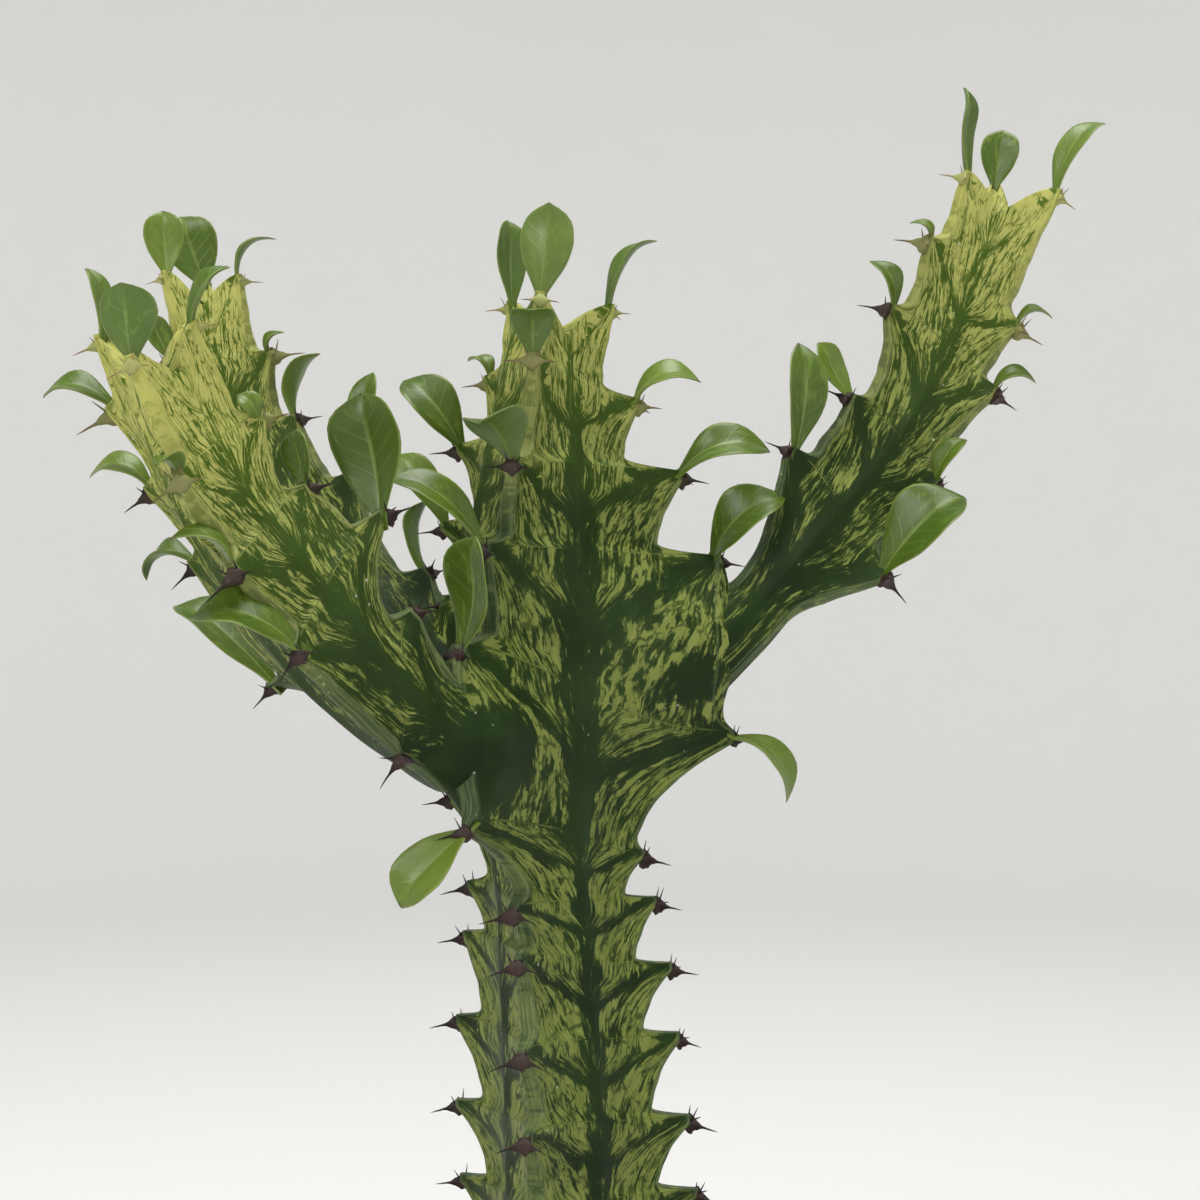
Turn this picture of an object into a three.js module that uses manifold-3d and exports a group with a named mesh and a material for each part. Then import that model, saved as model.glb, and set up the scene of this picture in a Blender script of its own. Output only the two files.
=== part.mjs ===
// Potted african milk tree: a three-ribbed, variegated succulent with paired spines and fleshy
// leaves, standing in a plain clay pot of potting mix. Millimetres, +Z up, origin at the centre
// of the pot's underside. The plant is seen from the front along +Y, with +X to the right.
import * as THREE from 'three';
import { mergeVertices } from 'three/addons/utils/BufferGeometryUtils.js';
import Module from 'manifold-3d';

const wasm = await Module();
wasm.setup();

// Pot
const POT_HEIGHT = 118;
const POT_BASE_RADIUS = 47;
const POT_BODY_TOP_RADIUS = 66;
const RIM_RADIUS = 73;
const RIM_HEIGHT = 24;
const RIM_ROUND = 2;
const POT_WALL = 6;
const POT_FLOOR = 7;
const DRAIN_HOLES = 4;
const DRAIN_RADIUS = 4.5;
const DRAIN_CIRCLE = 25;
const POT_SIDES = 40;

// Soil
const SOIL_LEVEL = 103;
const SOIL_RELIEF = 1.3;
const SOIL_SIDES = 28;
const SOIL_RINGS = 3;
const GAP = 0.3;

// Edges shorter than this are closed up, so that no needle faces are left
const WELD = 0.05;

// Stem section: a rib is a thin edge that widens in a hollow curve to the valleys beside it
const RIB_TIP_HALF = 1.0;
const RIB_WAIST_HALF = 2.0;
const FACE_STEPS = [0.5];
const FACE_POWER = 1.8;
const FLUSH_JOIN = 0.35;

// Teeth: each has a flat shelf on top, a blunt end and a hollow sweep below. The shelf stands
// TOOTH_TOP above the spines.
const TOOTH_PHASES = [0.07, 0.45, 0.7, 0.9, 1];
const SWEEP_POWER = 2.1;
const BLUNT_FROM = 0.9;
const TOOTH_TOP = 1.4;
const TRUNK_WAIST = 0.69;
const BRANCH_WAIST = 0.72;
const CROWN_DROP = 8;
const CROWN_DRAW = 0.5;
const ROUND_EDGE_SHARE = 0.05;

// Leaves and spines
const LEAF_THICK = 0.75;
const LEAF_SINK = 2.5;
const LEAF_INSET = 1.4;
const LEAF_STATIONS = [0, 0.16, 0.38, 0.6, 0.82, 1];
const LEAF_WIDTHS = [0.16, 0.42, 0.86, 1.0, 0.78, 0.06];
const LEAF_FOLD = 0.16;
const LEAF_SEED = 7;
const SPINE_REACH = 5.4;
const SHIELD_HALF = 2.0;
const SHIELD_HEIGHT = 1.9;
const SHIELD_DEPTH = 1.1;
const SPINE_HEIGHT = 0.67;
const SPINE_DEPTH = 0.6;
const SPINE_LIFT = 3.2;
const SPINE_DROP = 0.6;
const YOUNG_SPINE = 0.7;

// A tooth is [distance along the stem, reach from its axis, reach just above its shelf,
// swelling of the rib from there to the next tooth]; the last two only where they differ.
// A turn is [distance along the stem, direction of the rib in degrees from +X toward +Y].
// A leaf names its tooth, the way from the tooth to the leaf's tip, the blade's width and
// the way that its upper side faces. From firstRuledLeaf up, the other teeth have leaves that
// follow the rule in ruledLeaf.
const MAIN_STEM = {
  name: 'main_stem',
  path: [
    [0, 0, 72], [0, 0, 130], [0, 0, 190], [-1.8, 0, 226], [-2.6, 0, 242],
    [-4, 0, 275], [-5.3, 0, 320], [-4.7, 0, 345], [-4, 0, 366],
  ],
  start: 72,
  round: [[72, 12], [74, 14], [103, 15.5]],
  core: [[103, 13], [190, 12.5], [242, 11.5], [275, 15], [320, 15], [345, 11], [366, 7]],
  waist: TRUNK_WAIST,
  firstRuledLeaf: 15,
  ribs: [
    {
      turn: [[103, 15]],
      teeth: [
        [112, 24], [127, 30], [143, 32], [158, 32], [173.7, 31.5], [189.6, 30], [207.4, 28.5],
        [223.3, 27.5], [238.3, 25], [248.8, 22.5, 20.3], [274.6, 44.8, 41, 6], [315.4, 42.6, 27.7],
        [335.8, 33.6, 19.3], [351.4, 23, 14], [371.9, 16.3, 9],
      ],
      leaves: [
        { tooth: 10, to: [14, -3, -13], wide: 10, face: [0.6, -0.5, 0.5], bend: -0.24 },
        { tooth: 11, to: [14, -6, 15], wide: 13, face: [-0.4, -0.8, 0.5], bend: -0.2 },
        { tooth: 12, to: [20, -3, 7], wide: 11, face: [-0.2, -0.75, 0.65], bend: -0.22 },
        { tooth: 13, to: [14, -3, 6], wide: 9, face: [-0.2, -0.6, 0.75], bend: -0.26 },
        { tooth: 14, to: [9, 2, 17], wide: 9, face: [-0.8, -0.3, 0.5], bend: -0.1 },
      ],
    },
    {
      turn: [[103, 135]],
      teeth: [
        [109, 23], [124, 30], [140, 32], [156, 33], [172.7, 33], [190.5, 34], [210.9, 32.9],
        [230.6, 28.8], [242.3, 26], [262, 32, 29, 6], [307, 30, 20], [323.4, 31.4, 18.7],
        [340.9, 26.9, 15], [355.9, 17.6, 11], [372.5, 11.5, 7.5],
      ],
      leaves: [
        { tooth: 11, to: [-12, 3, 18], wide: 9, face: [0.3, -0.8, 0.5], bend: -0.1 },
        { tooth: 12, to: [-13, 1, 17], wide: 12, face: [0.1, -0.8, 0.6], bend: -0.12 },
        { tooth: 13, to: [-5, 3, 6], wide: 5, face: [0.3, -0.5, 0.8], bend: -0.3 },
        { tooth: 14, to: [0, 1, 20], wide: 9, face: [0.6, -0.8, 0.1], bend: 0.05 },
      ],
    },
    {
      turn: [
        [103, 259], [232, 257], [243, 255], [261, 246], [294, 246], [317, 250], [335, 261], [372, 270],
      ],
      teeth: [
        [114, 24], [129, 29], [145, 31], [161, 31], [178.6, 30.5], [196.1, 30], [213.2, 29],
        [232.1, 27.5], [242.3, 26], [261, 37, 34, 5], [297, 38, 24], [317.3, 30, 20],
        [335, 27, 15], [357.9, 19, 11], [371.5, 14, 8],
      ],
      leaves: [
        { tooth: 9, to: [-14, -5, -14], wide: 12, face: [-0.4, -0.8, 0.4], bend: -0.05 },
        { tooth: 10, to: [1, -6, 23], wide: 14, face: [-0.7, -0.7, 0.1], bend: 0.14 },
        { tooth: 11, to: [-18, -6, 16], wide: 10, face: [0.2, -0.6, 0.8], bend: -0.12 },
        { tooth: 12, to: [-6, -12, 9], wide: 14, face: [0, 0.4, 0.9], bend: -0.15 },
        { tooth: 13, to: [0, -8, 10], wide: 10, face: [0, 0.7, 0.7], bend: -0.2 },
        { tooth: 14, to: [2, 0, 20], wide: 12, face: [0.1, 1, 0.1], bend: 0.06 },
      ],
    },
  ],
};

const RIGHT_BRANCH = {
  name: 'right_branch',
  path: [
    [24, 9, 287], [39.1, 10, 299.8], [51.8, 12, 313.8], [65.6, 14, 329.7],
    [77.6, 15, 346.2], [85.8, 15, 362.1], [91.8, 14, 377.5], [97.1, 12, 391.9],
  ],
  start: -6,
  round: [[-6, 3], [4, 6.5], [14, 7.6]],
  core: [[14, 7], [40, 9.5], [100, 8], [125, 5.5]],
  waist: BRANCH_WAIST,
  firstRuledLeaf: 0,
  ribs: [
    {
      turn: [[0, 210]],
      teeth: [[52.4, 20.2], [72.2, 16.6], [97.2, 18.5], [115.1, 15.5], [131.6, 12]],
      leaves: [
        { tooth: 0, to: [2, -4, 24], wide: 10, face: [0.4, -0.9, 0.1], bend: -0.1 },
        { tooth: 1, to: [-7, -2, 13], wide: 7, face: [0.3, -0.8, 0.4], bend: 0.1 },
        { tooth: 2, to: [-4, -2, 11], wide: 7, face: [0.5, -0.7, 0.4], bend: -0.2 },
        { tooth: 3, to: [-4, -1, 5], wide: 4, face: [0.4, -0.5, 0.7], bend: -0.3 },
        { tooth: 4, to: [1, -1, 20], wide: 8, face: [0.8, -0.5, 0.1], bend: 0.08 },
      ],
    },
    {
      turn: [[0, 330]],
      teeth: [[44, 20.2], [67, 15.8], [89.2, 16.8], [103.8, 15.6], [134.8, 13]],
      leaves: [
        { tooth: 0, to: [16, -4, 18], wide: 17, face: [-0.6, -0.7, 0.4], bend: -0.08 },
        { tooth: 1, to: [6, -2, 10], wide: 7, face: [-0.7, -0.6, 0.4], bend: -0.1 },
        { tooth: 2, to: [9, -2, 3], wide: 6, face: [-0.3, -0.5, 0.8], bend: -0.3 },
        { tooth: 3, to: [8, -1, 3], wide: 5, face: [-0.3, -0.3, 0.9], bend: -0.28 },
        { tooth: 4, to: [10, 0, 17], wide: 8, face: [-0.7, -0.6, 0.4], bend: -0.12 },
      ],
    },
    {
      turn: [[0, 92]],
      teeth: [[48, 18], [70, 16.5], [93, 17.5], [113, 15.5], [133.5, 11.5]],
      leaves: [
        { tooth: 0, to: [1, 8, 18], wide: 14, face: [0, -0.8, 0.6], bend: -0.1 },
        { tooth: 4, to: [2, 0, 14], wide: 9, face: [-0.2, -1, 0.1], bend: 0.06 },
      ],
    },
  ],
};

const FRONT_LEFT_BRANCH = {
  name: 'front_left_branch',
  path: [
    [-12, -14, 278], [-24.2, -28, 279.5], [-38.7, -43, 293], [-52.2, -50, 308.9],
    [-63.3, -56, 325.1], [-71.3, -61, 341.8], [-76.4, -65, 355.3], [-78.5, -67, 364.3],
  ],
  start: 9,
  round: [[9, 7], [20, 9.3], [26, 10.4]],
  core: [[26, 10], [60, 10.5], [100, 8], [134, 5.5]],
  waist: BRANCH_WAIST,
  firstRuledLeaf: 1,
  ribs: [
    {
      turn: [[0, 150]],
      teeth: [[55.7, 28, 18], [87, 17], [102.5, 16], [118.5, 15], [131, 11]],
      leaves: [
        { tooth: 0, to: [-20, 2, 18], wide: 13, face: [0.5, -0.6, 0.6], bend: -0.05 },
        { tooth: 1, to: [-11, 2, -2], wide: 10, face: [-0.2, -0.3, 0.9], bend: -0.3 },
        { tooth: 2, to: [-12, 0, 4], wide: 8, face: [0, -0.5, 0.85], bend: -0.26 },
        { tooth: 3, to: [-14, 0, 4], wide: 8, face: [0, -0.55, 0.85], bend: -0.2 },
        { tooth: 4, to: [-2, 0, 14], wide: 6, face: [0.8, -0.4, 0.3], bend: -0.05 },
      ],
    },
    {
      turn: [[0, 268]],
      teeth: [[38, 11, 10.4], [66.8, 17], [85.8, 15.2], [104.6, 14.5], [127, 11.5]],
      leaves: [
        { tooth: 1, to: [-18, -5, 8], wide: 16, face: [0.1, -0.5, 0.8], bend: -0.15 },
        { tooth: 2, to: [-10, -5, 7], wide: 8, face: [0.1, -0.3, 0.9], bend: -0.2 },
        { tooth: 3, to: [-3, -5, 3], wide: 6, face: [0, 0.2, 1], bend: -0.3 },
        { tooth: 4, to: [-1, -2, 14], wide: 11, face: [0, 0.9, 0.3], bend: 0.05 },
      ],
    },
    {
      turn: [[0, 30]],
      teeth: [[53, 16], [73, 25.2], [88, 16], [106.5, 15.6], [129, 11]],
      leaves: [
        { tooth: 1, to: [-5, 1, 25], wide: 16, face: [-0.4, -0.9, 0.1], bend: 0.08 },
        { tooth: 2, to: [-2, -1, 12], wide: 7, face: [-0.5, -0.8, 0.3], bend: 0.08 },
        { tooth: 3, to: [-3, -2, 5], wide: 5, face: [-0.3, -0.5, 0.8], bend: -0.2 },
        { tooth: 4, to: [6, 0, 12], wide: 6, face: [-0.7, -0.6, 0.4], bend: -0.1 },
      ],
    },
  ],
};

const BACK_LEFT_BRANCH = {
  name: 'back_left_branch',
  path: [
    [-17, 11, 279], [-27.9, 19, 288], [-41.7, 28, 300.5], [-55.7, 36, 314.2], [-67.4, 42, 328.8],
    [-77.4, 46, 346.1], [-84.4, 48, 363.4], [-88.3, 48, 380.5], [-89.5, 48, 388.4],
  ],
  start: 5,
  round: [[5, 7], [14, 10], [20, 10.5]],
  core: [[20, 9.5], [60, 9.5], [110, 8], [140, 5.5]],
  waist: BRANCH_WAIST,
  firstRuledLeaf: 0,
  ribs: [
    {
      turn: [[0, 334]],
      teeth: [[43, 17], [77, 20], [100.2, 15.5], [119.8, 16], [142.2, 12]],
      leaves: [
        { tooth: 1, to: [3, 2, 26], wide: 9, face: [-0.5, -0.8, 0.1], bend: 0.06 },
        { tooth: 3, to: [3, -1, 6], wide: 4, face: [-0.5, -0.5, 0.7], bend: -0.3 },
        { tooth: 4, to: [8, 0, 11], wide: 6, face: [-0.6, -0.3, 0.7], bend: -0.22 },
      ],
    },
    {
      turn: [[0, 94]],
      teeth: [[42, 17], [68, 16.5], [94, 16], [118, 14], [144, 10.5]],
      leaves: [
        { tooth: 4, to: [-6.5, 0, 18.5], wide: 14, face: [0.2, -1, 0.1], bend: 0.06 },
      ],
    },
    {
      turn: [[0, 214]],
      teeth: [[45, 17], [70, 16], [100, 15], [126, 13], [145.5, 10]],
      leaves: [
        { tooth: 3, to: [-5, -1, 11], wide: 7, face: [0.4, -0.8, 0.4], bend: 0.1 },
        { tooth: 4, to: [-1, -1, 16], wide: 10, face: [0.1, -1, 0.1], bend: 0.06 },
      ],
    },
  ],
};

const COLOURS = {
  clay: 0xb5673f,
  soil: 0x3f3026,
  stem: 0x5f8a35,
};

function finish(colour, roughness) {
  return new THREE.MeshStandardMaterial({ color: colour, roughness, metalness: 0 });
}

function addMesh(group, name, geometry, material) {
  const mesh = new THREE.Mesh(geometry, material);
  mesh.name = name;
  group.add(mesh);
}

// Solids

function geometryFrom(points, faces) {
  const geometry = new THREE.BufferGeometry();
  const flat = points.flatMap((point) => [point.x, point.y, point.z]);
  geometry.setAttribute('position', new THREE.Float32BufferAttribute(flat, 3));
  geometry.setIndex(faces.flat());
  return geometry;
}

function toManifold(source) {
  const geometry = source.clone();
  geometry.deleteAttribute('normal');
  geometry.deleteAttribute('uv');
  const merged = mergeVertices(geometry, 1e-4);
  const index = merged.index.array;
  const kept = [];
  for (let i = 0; i < index.length; i += 3) {
    const [a, b, c] = [index[i], index[i + 1], index[i + 2]];
    if (a !== b && b !== c && c !== a) kept.push(a, b, c);
  }
  return new wasm.Manifold(new wasm.Mesh({
    numProp: 3,
    vertProperties: new Float32Array(merged.attributes.position.array),
    triVerts: new Uint32Array(kept),
  }));
}

// The edges to close, as pairs of corners: an edge closes only where just two faces meet on it
// and no other edge beside it closes in the same round
function shortEdges(points, faces) {
  const around = points.map(() => new Set());
  for (const face of faces) {
    for (const corner of face) face.forEach((other) => around[corner].add(other));
  }
  const settled = new Set();
  const closed = new Map();
  for (const face of faces) {
    for (let side = 0; side < 3; side += 1) {
      const [kept, gone] = [face[side], face[(side + 1) % 3]];
      const shared = [...around[kept]].filter((corner) => around[gone].has(corner));
      const joins = points[kept].distanceTo(points[gone]) < WELD && shared.length === 4;
      if (!joins || settled.has(kept) || settled.has(gone)) continue;
      closed.set(gone, kept);
      for (const corner of [...around[kept], ...around[gone]]) settled.add(corner);
    }
  }
  return closed;
}

function toGeometry(solid) {
  const mesh = largestPiece(solid.simplify(WELD)).getMesh();
  const points = [];
  for (let i = 0; i < mesh.vertProperties.length; i += 3) {
    points.push(new THREE.Vector3().fromArray(mesh.vertProperties, i));
  }
  let faces = [];
  for (let i = 0; i < mesh.triVerts.length; i += 3) faces.push([...mesh.triVerts.slice(i, i + 3)]);
  let closed = shortEdges(points, faces);
  while (closed.size > 0) {
    faces = faces.map((face) => face.map((corner) => closed.get(corner) ?? corner));
    faces = faces.filter(([a, b, c]) => a !== b && b !== c && c !== a);
    closed = shortEdges(points, faces);
  }
  return geometryFrom(points, faces);
}

function largestPiece(solid) {
  const pieces = solid.decompose();
  return pieces.reduce((best, piece) => (piece.volume() > best.volume() ? piece : best));
}

// Numbers that change along a stem

function between(table, along) {
  if (along <= table[0][0]) return table[0][1];
  for (let i = 1; i < table.length; i += 1) {
    const [x0, y0] = table[i - 1];
    const [x1, y1] = table[i];
    if (along <= x1) return y0 + (y1 - y0) * (along - x0) / (x1 - x0);
  }
  return table[table.length - 1][1];
}

function randomSource(seed) {
  let state = seed;
  return () => {
    state = (state * 16807) % 2147483647;
    return state / 2147483647;
  };
}

// A stem's axis: a smooth curve that goes on straight past its last point
class StemLine {
  constructor(stem) {
    const marks = stem.path.map((mark) => new THREE.Vector3(...mark));
    this.curve = new THREE.CatmullRomCurve3(marks, false, 'centripetal');
    this.curve.arcLengthDivisions = 400;
    this.start = stem.start;
    this.length = this.curve.getLength();
  }

  frame(along) {
    const distance = along - this.start;
    const u = THREE.MathUtils.clamp(distance / this.length, 0, 1);
    const up = this.curve.getTangentAt(u).normalize();
    const centre = this.curve.getPointAt(u).addScaledVector(up, distance - u * this.length);
    const side = new THREE.Vector3(1, 0, 0).addScaledVector(up, -up.x).normalize();
    const back = new THREE.Vector3().crossVectors(up, side);
    return { centre, up, side, back };
  }

  outward(along, degrees) {
    const { side, back } = this.frame(along);
    const angle = THREE.MathUtils.degToRad(degrees);
    return side.clone().multiplyScalar(Math.cos(angle)).addScaledVector(back, Math.sin(angle));
  }

  point(along, degrees, reach) {
    return this.frame(along).centre.addScaledVector(this.outward(along, degrees), reach);
  }
}

// A rib at a phase: phase 0 is the foot of the ribs, and each whole number after it is a tooth
function ribAt(stem, rib, phase) {
  const foot = stem.round[stem.round.length - 1];
  const lower = Math.ceil(phase) - 1;
  const share = phase - lower;
  const from = lower === 0 ? [foot[0] - TOOTH_TOP, foot[1], foot[1]] : rib.teeth[lower - 1];
  const [fromAlong, fromReach, fromWaist, fromSwelling] = from;
  const waist = fromWaist ?? fromReach * stem.waist;
  const [toAlong, toReach] = rib.teeth[lower];
  const along = fromAlong + (toAlong - fromAlong) * share + TOOTH_TOP;
  const angle = between(rib.turn, along);
  const sweep = Math.min(1, share / BLUNT_FROM) ** SWEEP_POWER;
  const reach = waist + (toReach - waist) * sweep;
  const swelling = (fromSwelling ?? 0) * Math.sin(Math.PI * share);
  const half = RIB_WAIST_HALF + (RIB_TIP_HALF - RIB_WAIST_HALF) * sweep + swelling;
  return { along, angle, reach, half };
}

// One closed row of points round the stem, rib by rib: two edge corners, the hollow face,
// the valley and the hollow face of the next rib
function stemRow(line, stem, phase, grow) {
  const ribs = stem.ribs.map((rib) => ribAt(stem, rib, phase));
  const toothCount = stem.ribs[0].teeth.length;
  const drop = CROWN_DROP * THREE.MathUtils.smoothstep(phase, toothCount - 1, toothCount);
  const row = [];
  ribs.forEach((rib, k) => {
    const next = ribs[(k + 1) % ribs.length];
    const spread = (next.angle - rib.angle + 360) % 360;
    const valley = {
      along: (rib.along + next.along) / 2 - drop,
      angle: rib.angle + spread / 2,
    };
    valley.reach = between(stem.core, valley.along) + grow;
    row.push(edgePoint(line, rib, -1, grow));
    row.push(edgePoint(line, rib, 1, grow));
    FACE_STEPS.forEach((step) => row.push(facePoint(line, rib, valley, step, 1, grow)));
    row.push(line.point(valley.along, valley.angle, valley.reach));
    const sameValley = { ...valley, angle: next.angle - spread / 2 };
    [...FACE_STEPS].reverse().forEach((step) => {
      row.push(facePoint(line, next, sameValley, step, -1, grow));
    });
  });
  return row;
}

function edgePoint(line, rib, sign, grow) {
  const half = rib.half + grow;
  const point = line.point(rib.along, rib.angle, rib.reach + grow);
  return point.addScaledVector(line.outward(rib.along, rib.angle + 90), sign * half);
}

function facePoint(line, rib, valley, step, sign, grow) {
  const turn = THREE.MathUtils.degToRad(Math.abs(valley.angle - rib.angle));
  const valleyOut = valley.reach * Math.cos(turn);
  const valleyHalf = valley.reach * Math.sin(turn);
  const out = rib.reach + grow + (valleyOut - rib.reach - grow) * step;
  const hollow = step ** FACE_POWER;
  const half = rib.half + grow + (valleyHalf - rib.half - grow) * hollow;
  const along = rib.along + (valley.along - rib.along) * hollow;
  const aside = line.outward(along, rib.angle + 90).multiplyScalar(sign * half);
  return line.point(along, rib.angle, out).add(aside);
}

// The same count of points round a plain circle, for the foot of a stem
function roundRow(line, stem, along, radius, grow) {
  const angles = stem.ribs.map((rib) => between(rib.turn, along));
  const row = [];
  angles.forEach((angle, k) => {
    const spread = (angles[(k + 1) % angles.length] - angle + 360) % 360;
    const steps = [-ROUND_EDGE_SHARE, ROUND_EDGE_SHARE, ...FACE_STEPS.map((s) => s / 2), 0.5];
    FACE_STEPS.forEach((s) => steps.push(1 - s / 2));
    steps.sort((a, b) => a - b);
    steps.forEach((s) => row.push(line.point(along, angle + spread * s, radius + grow)));
  });
  return row;
}

// The crown between the topmost teeth: the last row drawn in and down
function crownRow(line, rim, along) {
  const { centre } = line.frame(along);
  return rim.map((point) => point.clone().lerp(centre, CROWN_DRAW));
}

function ribbedStem(line, stem, grow = 0) {
  const rows = stem.round.map(([along, radius]) => roundRow(line, stem, along, radius, grow));
  const toothCount = stem.ribs[0].teeth.length;
  for (let tooth = 0; tooth < toothCount; tooth += 1) {
    TOOTH_PHASES.forEach((share) => {
      const flare = tooth === 0 && share === TOOTH_PHASES[0];
      if (!flare) rows.push(stemRow(line, stem, tooth + share, grow));
    });
  }
  const crown = Math.min(...stem.ribs.map((rib) => rib.teeth[toothCount - 1][0])) - CROWN_DROP;
  const rim = rows[rows.length - 1];
  rows.push(crownRow(line, rim, crown));
  const points = rows.flat();
  const width = rim.length;
  const faces = [];
  for (let r = 0; r < rows.length - 1; r += 1) {
    for (let c = 0; c < width; c += 1) {
      const a = r * width + c;
      const b = r * width + (c + 1) % width;
      faces.push([a, b, b + width], [a, b + width, a + width]);
    }
  }
  const bottom = points.push(line.frame(stem.round[0][0]).centre) - 1;
  const top = points.push(line.frame(crown + 1).centre) - 1;
  const last = (rows.length - 1) * width;
  for (let c = 0; c < width; c += 1) {
    const d = (c + 1) % width;
    faces.push([bottom, d, c], [top, last + c, last + d]);
  }
  return geometryFrom(points, faces);
}

// A leaf: a fleshy blade, narrow at its foot, widest past its middle, folded a little on its
// midrib, arched along its length and pointed at its tip
function leafBlade(foot, to, face, wide, bend) {
  const length = to.length();
  const ahead = to.clone().normalize();
  const upper = face.clone().addScaledVector(ahead, -face.dot(ahead)).normalize();
  const across = new THREE.Vector3().crossVectors(ahead, upper);
  const points = [];
  LEAF_STATIONS.forEach((t, i) => {
    const half = wide / 2 * LEAF_WIDTHS[i];
    const rise = -bend * length * 4 * t * (1 - t);
    const run = t === 0 ? -LEAF_SINK : t * length;
    const middle = foot.clone().addScaledVector(ahead, run).addScaledVector(upper, rise);
    [-1, 0, 1].forEach((edge) => {
      const lift = Math.abs(edge) * half * LEAF_FOLD * 2;
      const spot = middle.clone().addScaledVector(across, edge * half).addScaledVector(upper, lift);
      points.push(spot.clone().addScaledVector(upper, LEAF_THICK / 2));
      points.push(spot.addScaledVector(upper, -LEAF_THICK / 2));
    });
  });
  const faces = [];
  const quad = (a, b, c, d) => faces.push([a, b, c], [a, c, d]);
  const rowSize = 6;
  for (let r = 0; r < LEAF_STATIONS.length - 1; r += 1) {
    const o = r * rowSize;
    const n = o + rowSize;
    quad(o, o + 2, n + 2, n);
    quad(o + 2, o + 4, n + 4, n + 2);
    quad(n + 1, n + 3, o + 3, o + 1);
    quad(n + 3, n + 5, o + 5, o + 3);
    quad(o + 1, o, n, n + 1);
    quad(o + 4, o + 5, n + 5, n + 4);
  }
  const e = (LEAF_STATIONS.length - 1) * rowSize;
  quad(2, 0, 1, 3);
  quad(4, 2, 3, 5);
  quad(e + 1, e, e + 2, e + 3);
  quad(e + 3, e + 2, e + 4, e + 5);
  return geometryFrom(points, faces);
}

// A pair of spines on the horny shield that caps each tooth
function spinePair(centre, out, up, scale, grow = 0) {
  const across = new THREE.Vector3().crossVectors(up, out);
  const at = (x, z, y) => centre.clone()
    .addScaledVector(across, x * scale)
    .addScaledVector(up, z * scale)
    .addScaledVector(out, y * scale);
  const ring = (x, tall, deep) => [
    at(x, tall + grow, 0),
    at(x, 0, deep + grow),
    at(x, -tall - grow, 0),
    at(x, 0, -deep - grow),
  ];
  const points = [
    at(-SPINE_REACH - 2 * grow, 0, SPINE_LIFT),
    ...ring(-SHIELD_HALF, SPINE_HEIGHT, SPINE_DEPTH),
    ...ring(0, SHIELD_HEIGHT, SHIELD_DEPTH),
    ...ring(SHIELD_HALF, SPINE_HEIGHT, SPINE_DEPTH),
    at(SPINE_REACH + 2 * grow, 0, SPINE_LIFT),
  ];
  const faces = [];
  const last = points.length - 1;
  for (let c = 0; c < 4; c += 1) {
    const d = (c + 1) % 4;
    faces.push([0, 1 + d, 1 + c], [last, 9 + c, 9 + d]);
    [1, 5].forEach((r) => faces.push([r + c, r + d, r + 4 + d], [r + c, r + 4 + d, r + 4 + c]));
  }
  return geometryFrom(points, faces);
}

// Leaves that the front view doesn't show lean out from their tooth, with sizes drawn at random
function ruledLeaf(draw, out, up) {
  const lean = THREE.MathUtils.degToRad(38 + 26 * draw());
  const length = 12 + 7 * draw();
  const to = up.clone().multiplyScalar(Math.cos(lean)).addScaledVector(out, Math.sin(lean));
  const face = up.clone().multiplyScalar(Math.sin(lean)).addScaledVector(out, -Math.cos(lean));
  return { to: to.multiplyScalar(length), face, wide: length * 0.5, bend: -0.06 - 0.12 * draw() };
}

// The stem with its spines, grown all over by a little where another stem has to clear it
function spinyStem(stem, grow = 0) {
  const line = new StemLine(stem);
  let body = toManifold(ribbedStem(line, stem, grow));
  eachTooth(stem, line, ({ tip, out, up, youngest }) => {
    const centre = tip.clone().addScaledVector(up, -SPINE_DROP);
    body = body.add(toManifold(spinePair(centre, out, up, youngest ? YOUNG_SPINE : 1, grow)));
  });
  return body;
}

function eachTooth(stem, line, visit) {
  stem.ribs.forEach((rib) => {
    rib.teeth.forEach(([along, reach], tooth) => {
      const angle = between(rib.turn, along);
      visit({
        rib,
        tooth,
        tip: line.point(along, angle, reach),
        out: line.outward(along, angle),
        up: line.frame(along).up,
        youngest: tooth === rib.teeth.length - 1,
      });
    });
  });
}

function leafyStem(stem) {
  const draw = randomSource(LEAF_SEED);
  let body = spinyStem(stem);
  eachTooth(stem, new StemLine(stem), ({ rib, tooth, tip, out, up }) => {
    const drawn = ruledLeaf(draw, out, up);
    const seen = rib.leaves.find((leaf) => leaf.tooth === tooth);
    if (!seen && tooth < stem.firstRuledLeaf) return;
    const leaf = seen
      ? { ...seen, to: new THREE.Vector3(...seen.to), face: new THREE.Vector3(...seen.face) }
      : drawn;
    const foot = tip.clone().addScaledVector(out, -LEAF_INSET);
    body = body.add(toManifold(leafBlade(foot, leaf.to, leaf.face, leaf.wide, leaf.bend)));
  });
  return body;
}

function lathe(profile, sides) {
  const points = profile.map(([radius, height]) => new THREE.Vector2(radius, height));
  return new THREE.LatheGeometry(points, sides).rotateX(Math.PI / 2);
}

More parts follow.
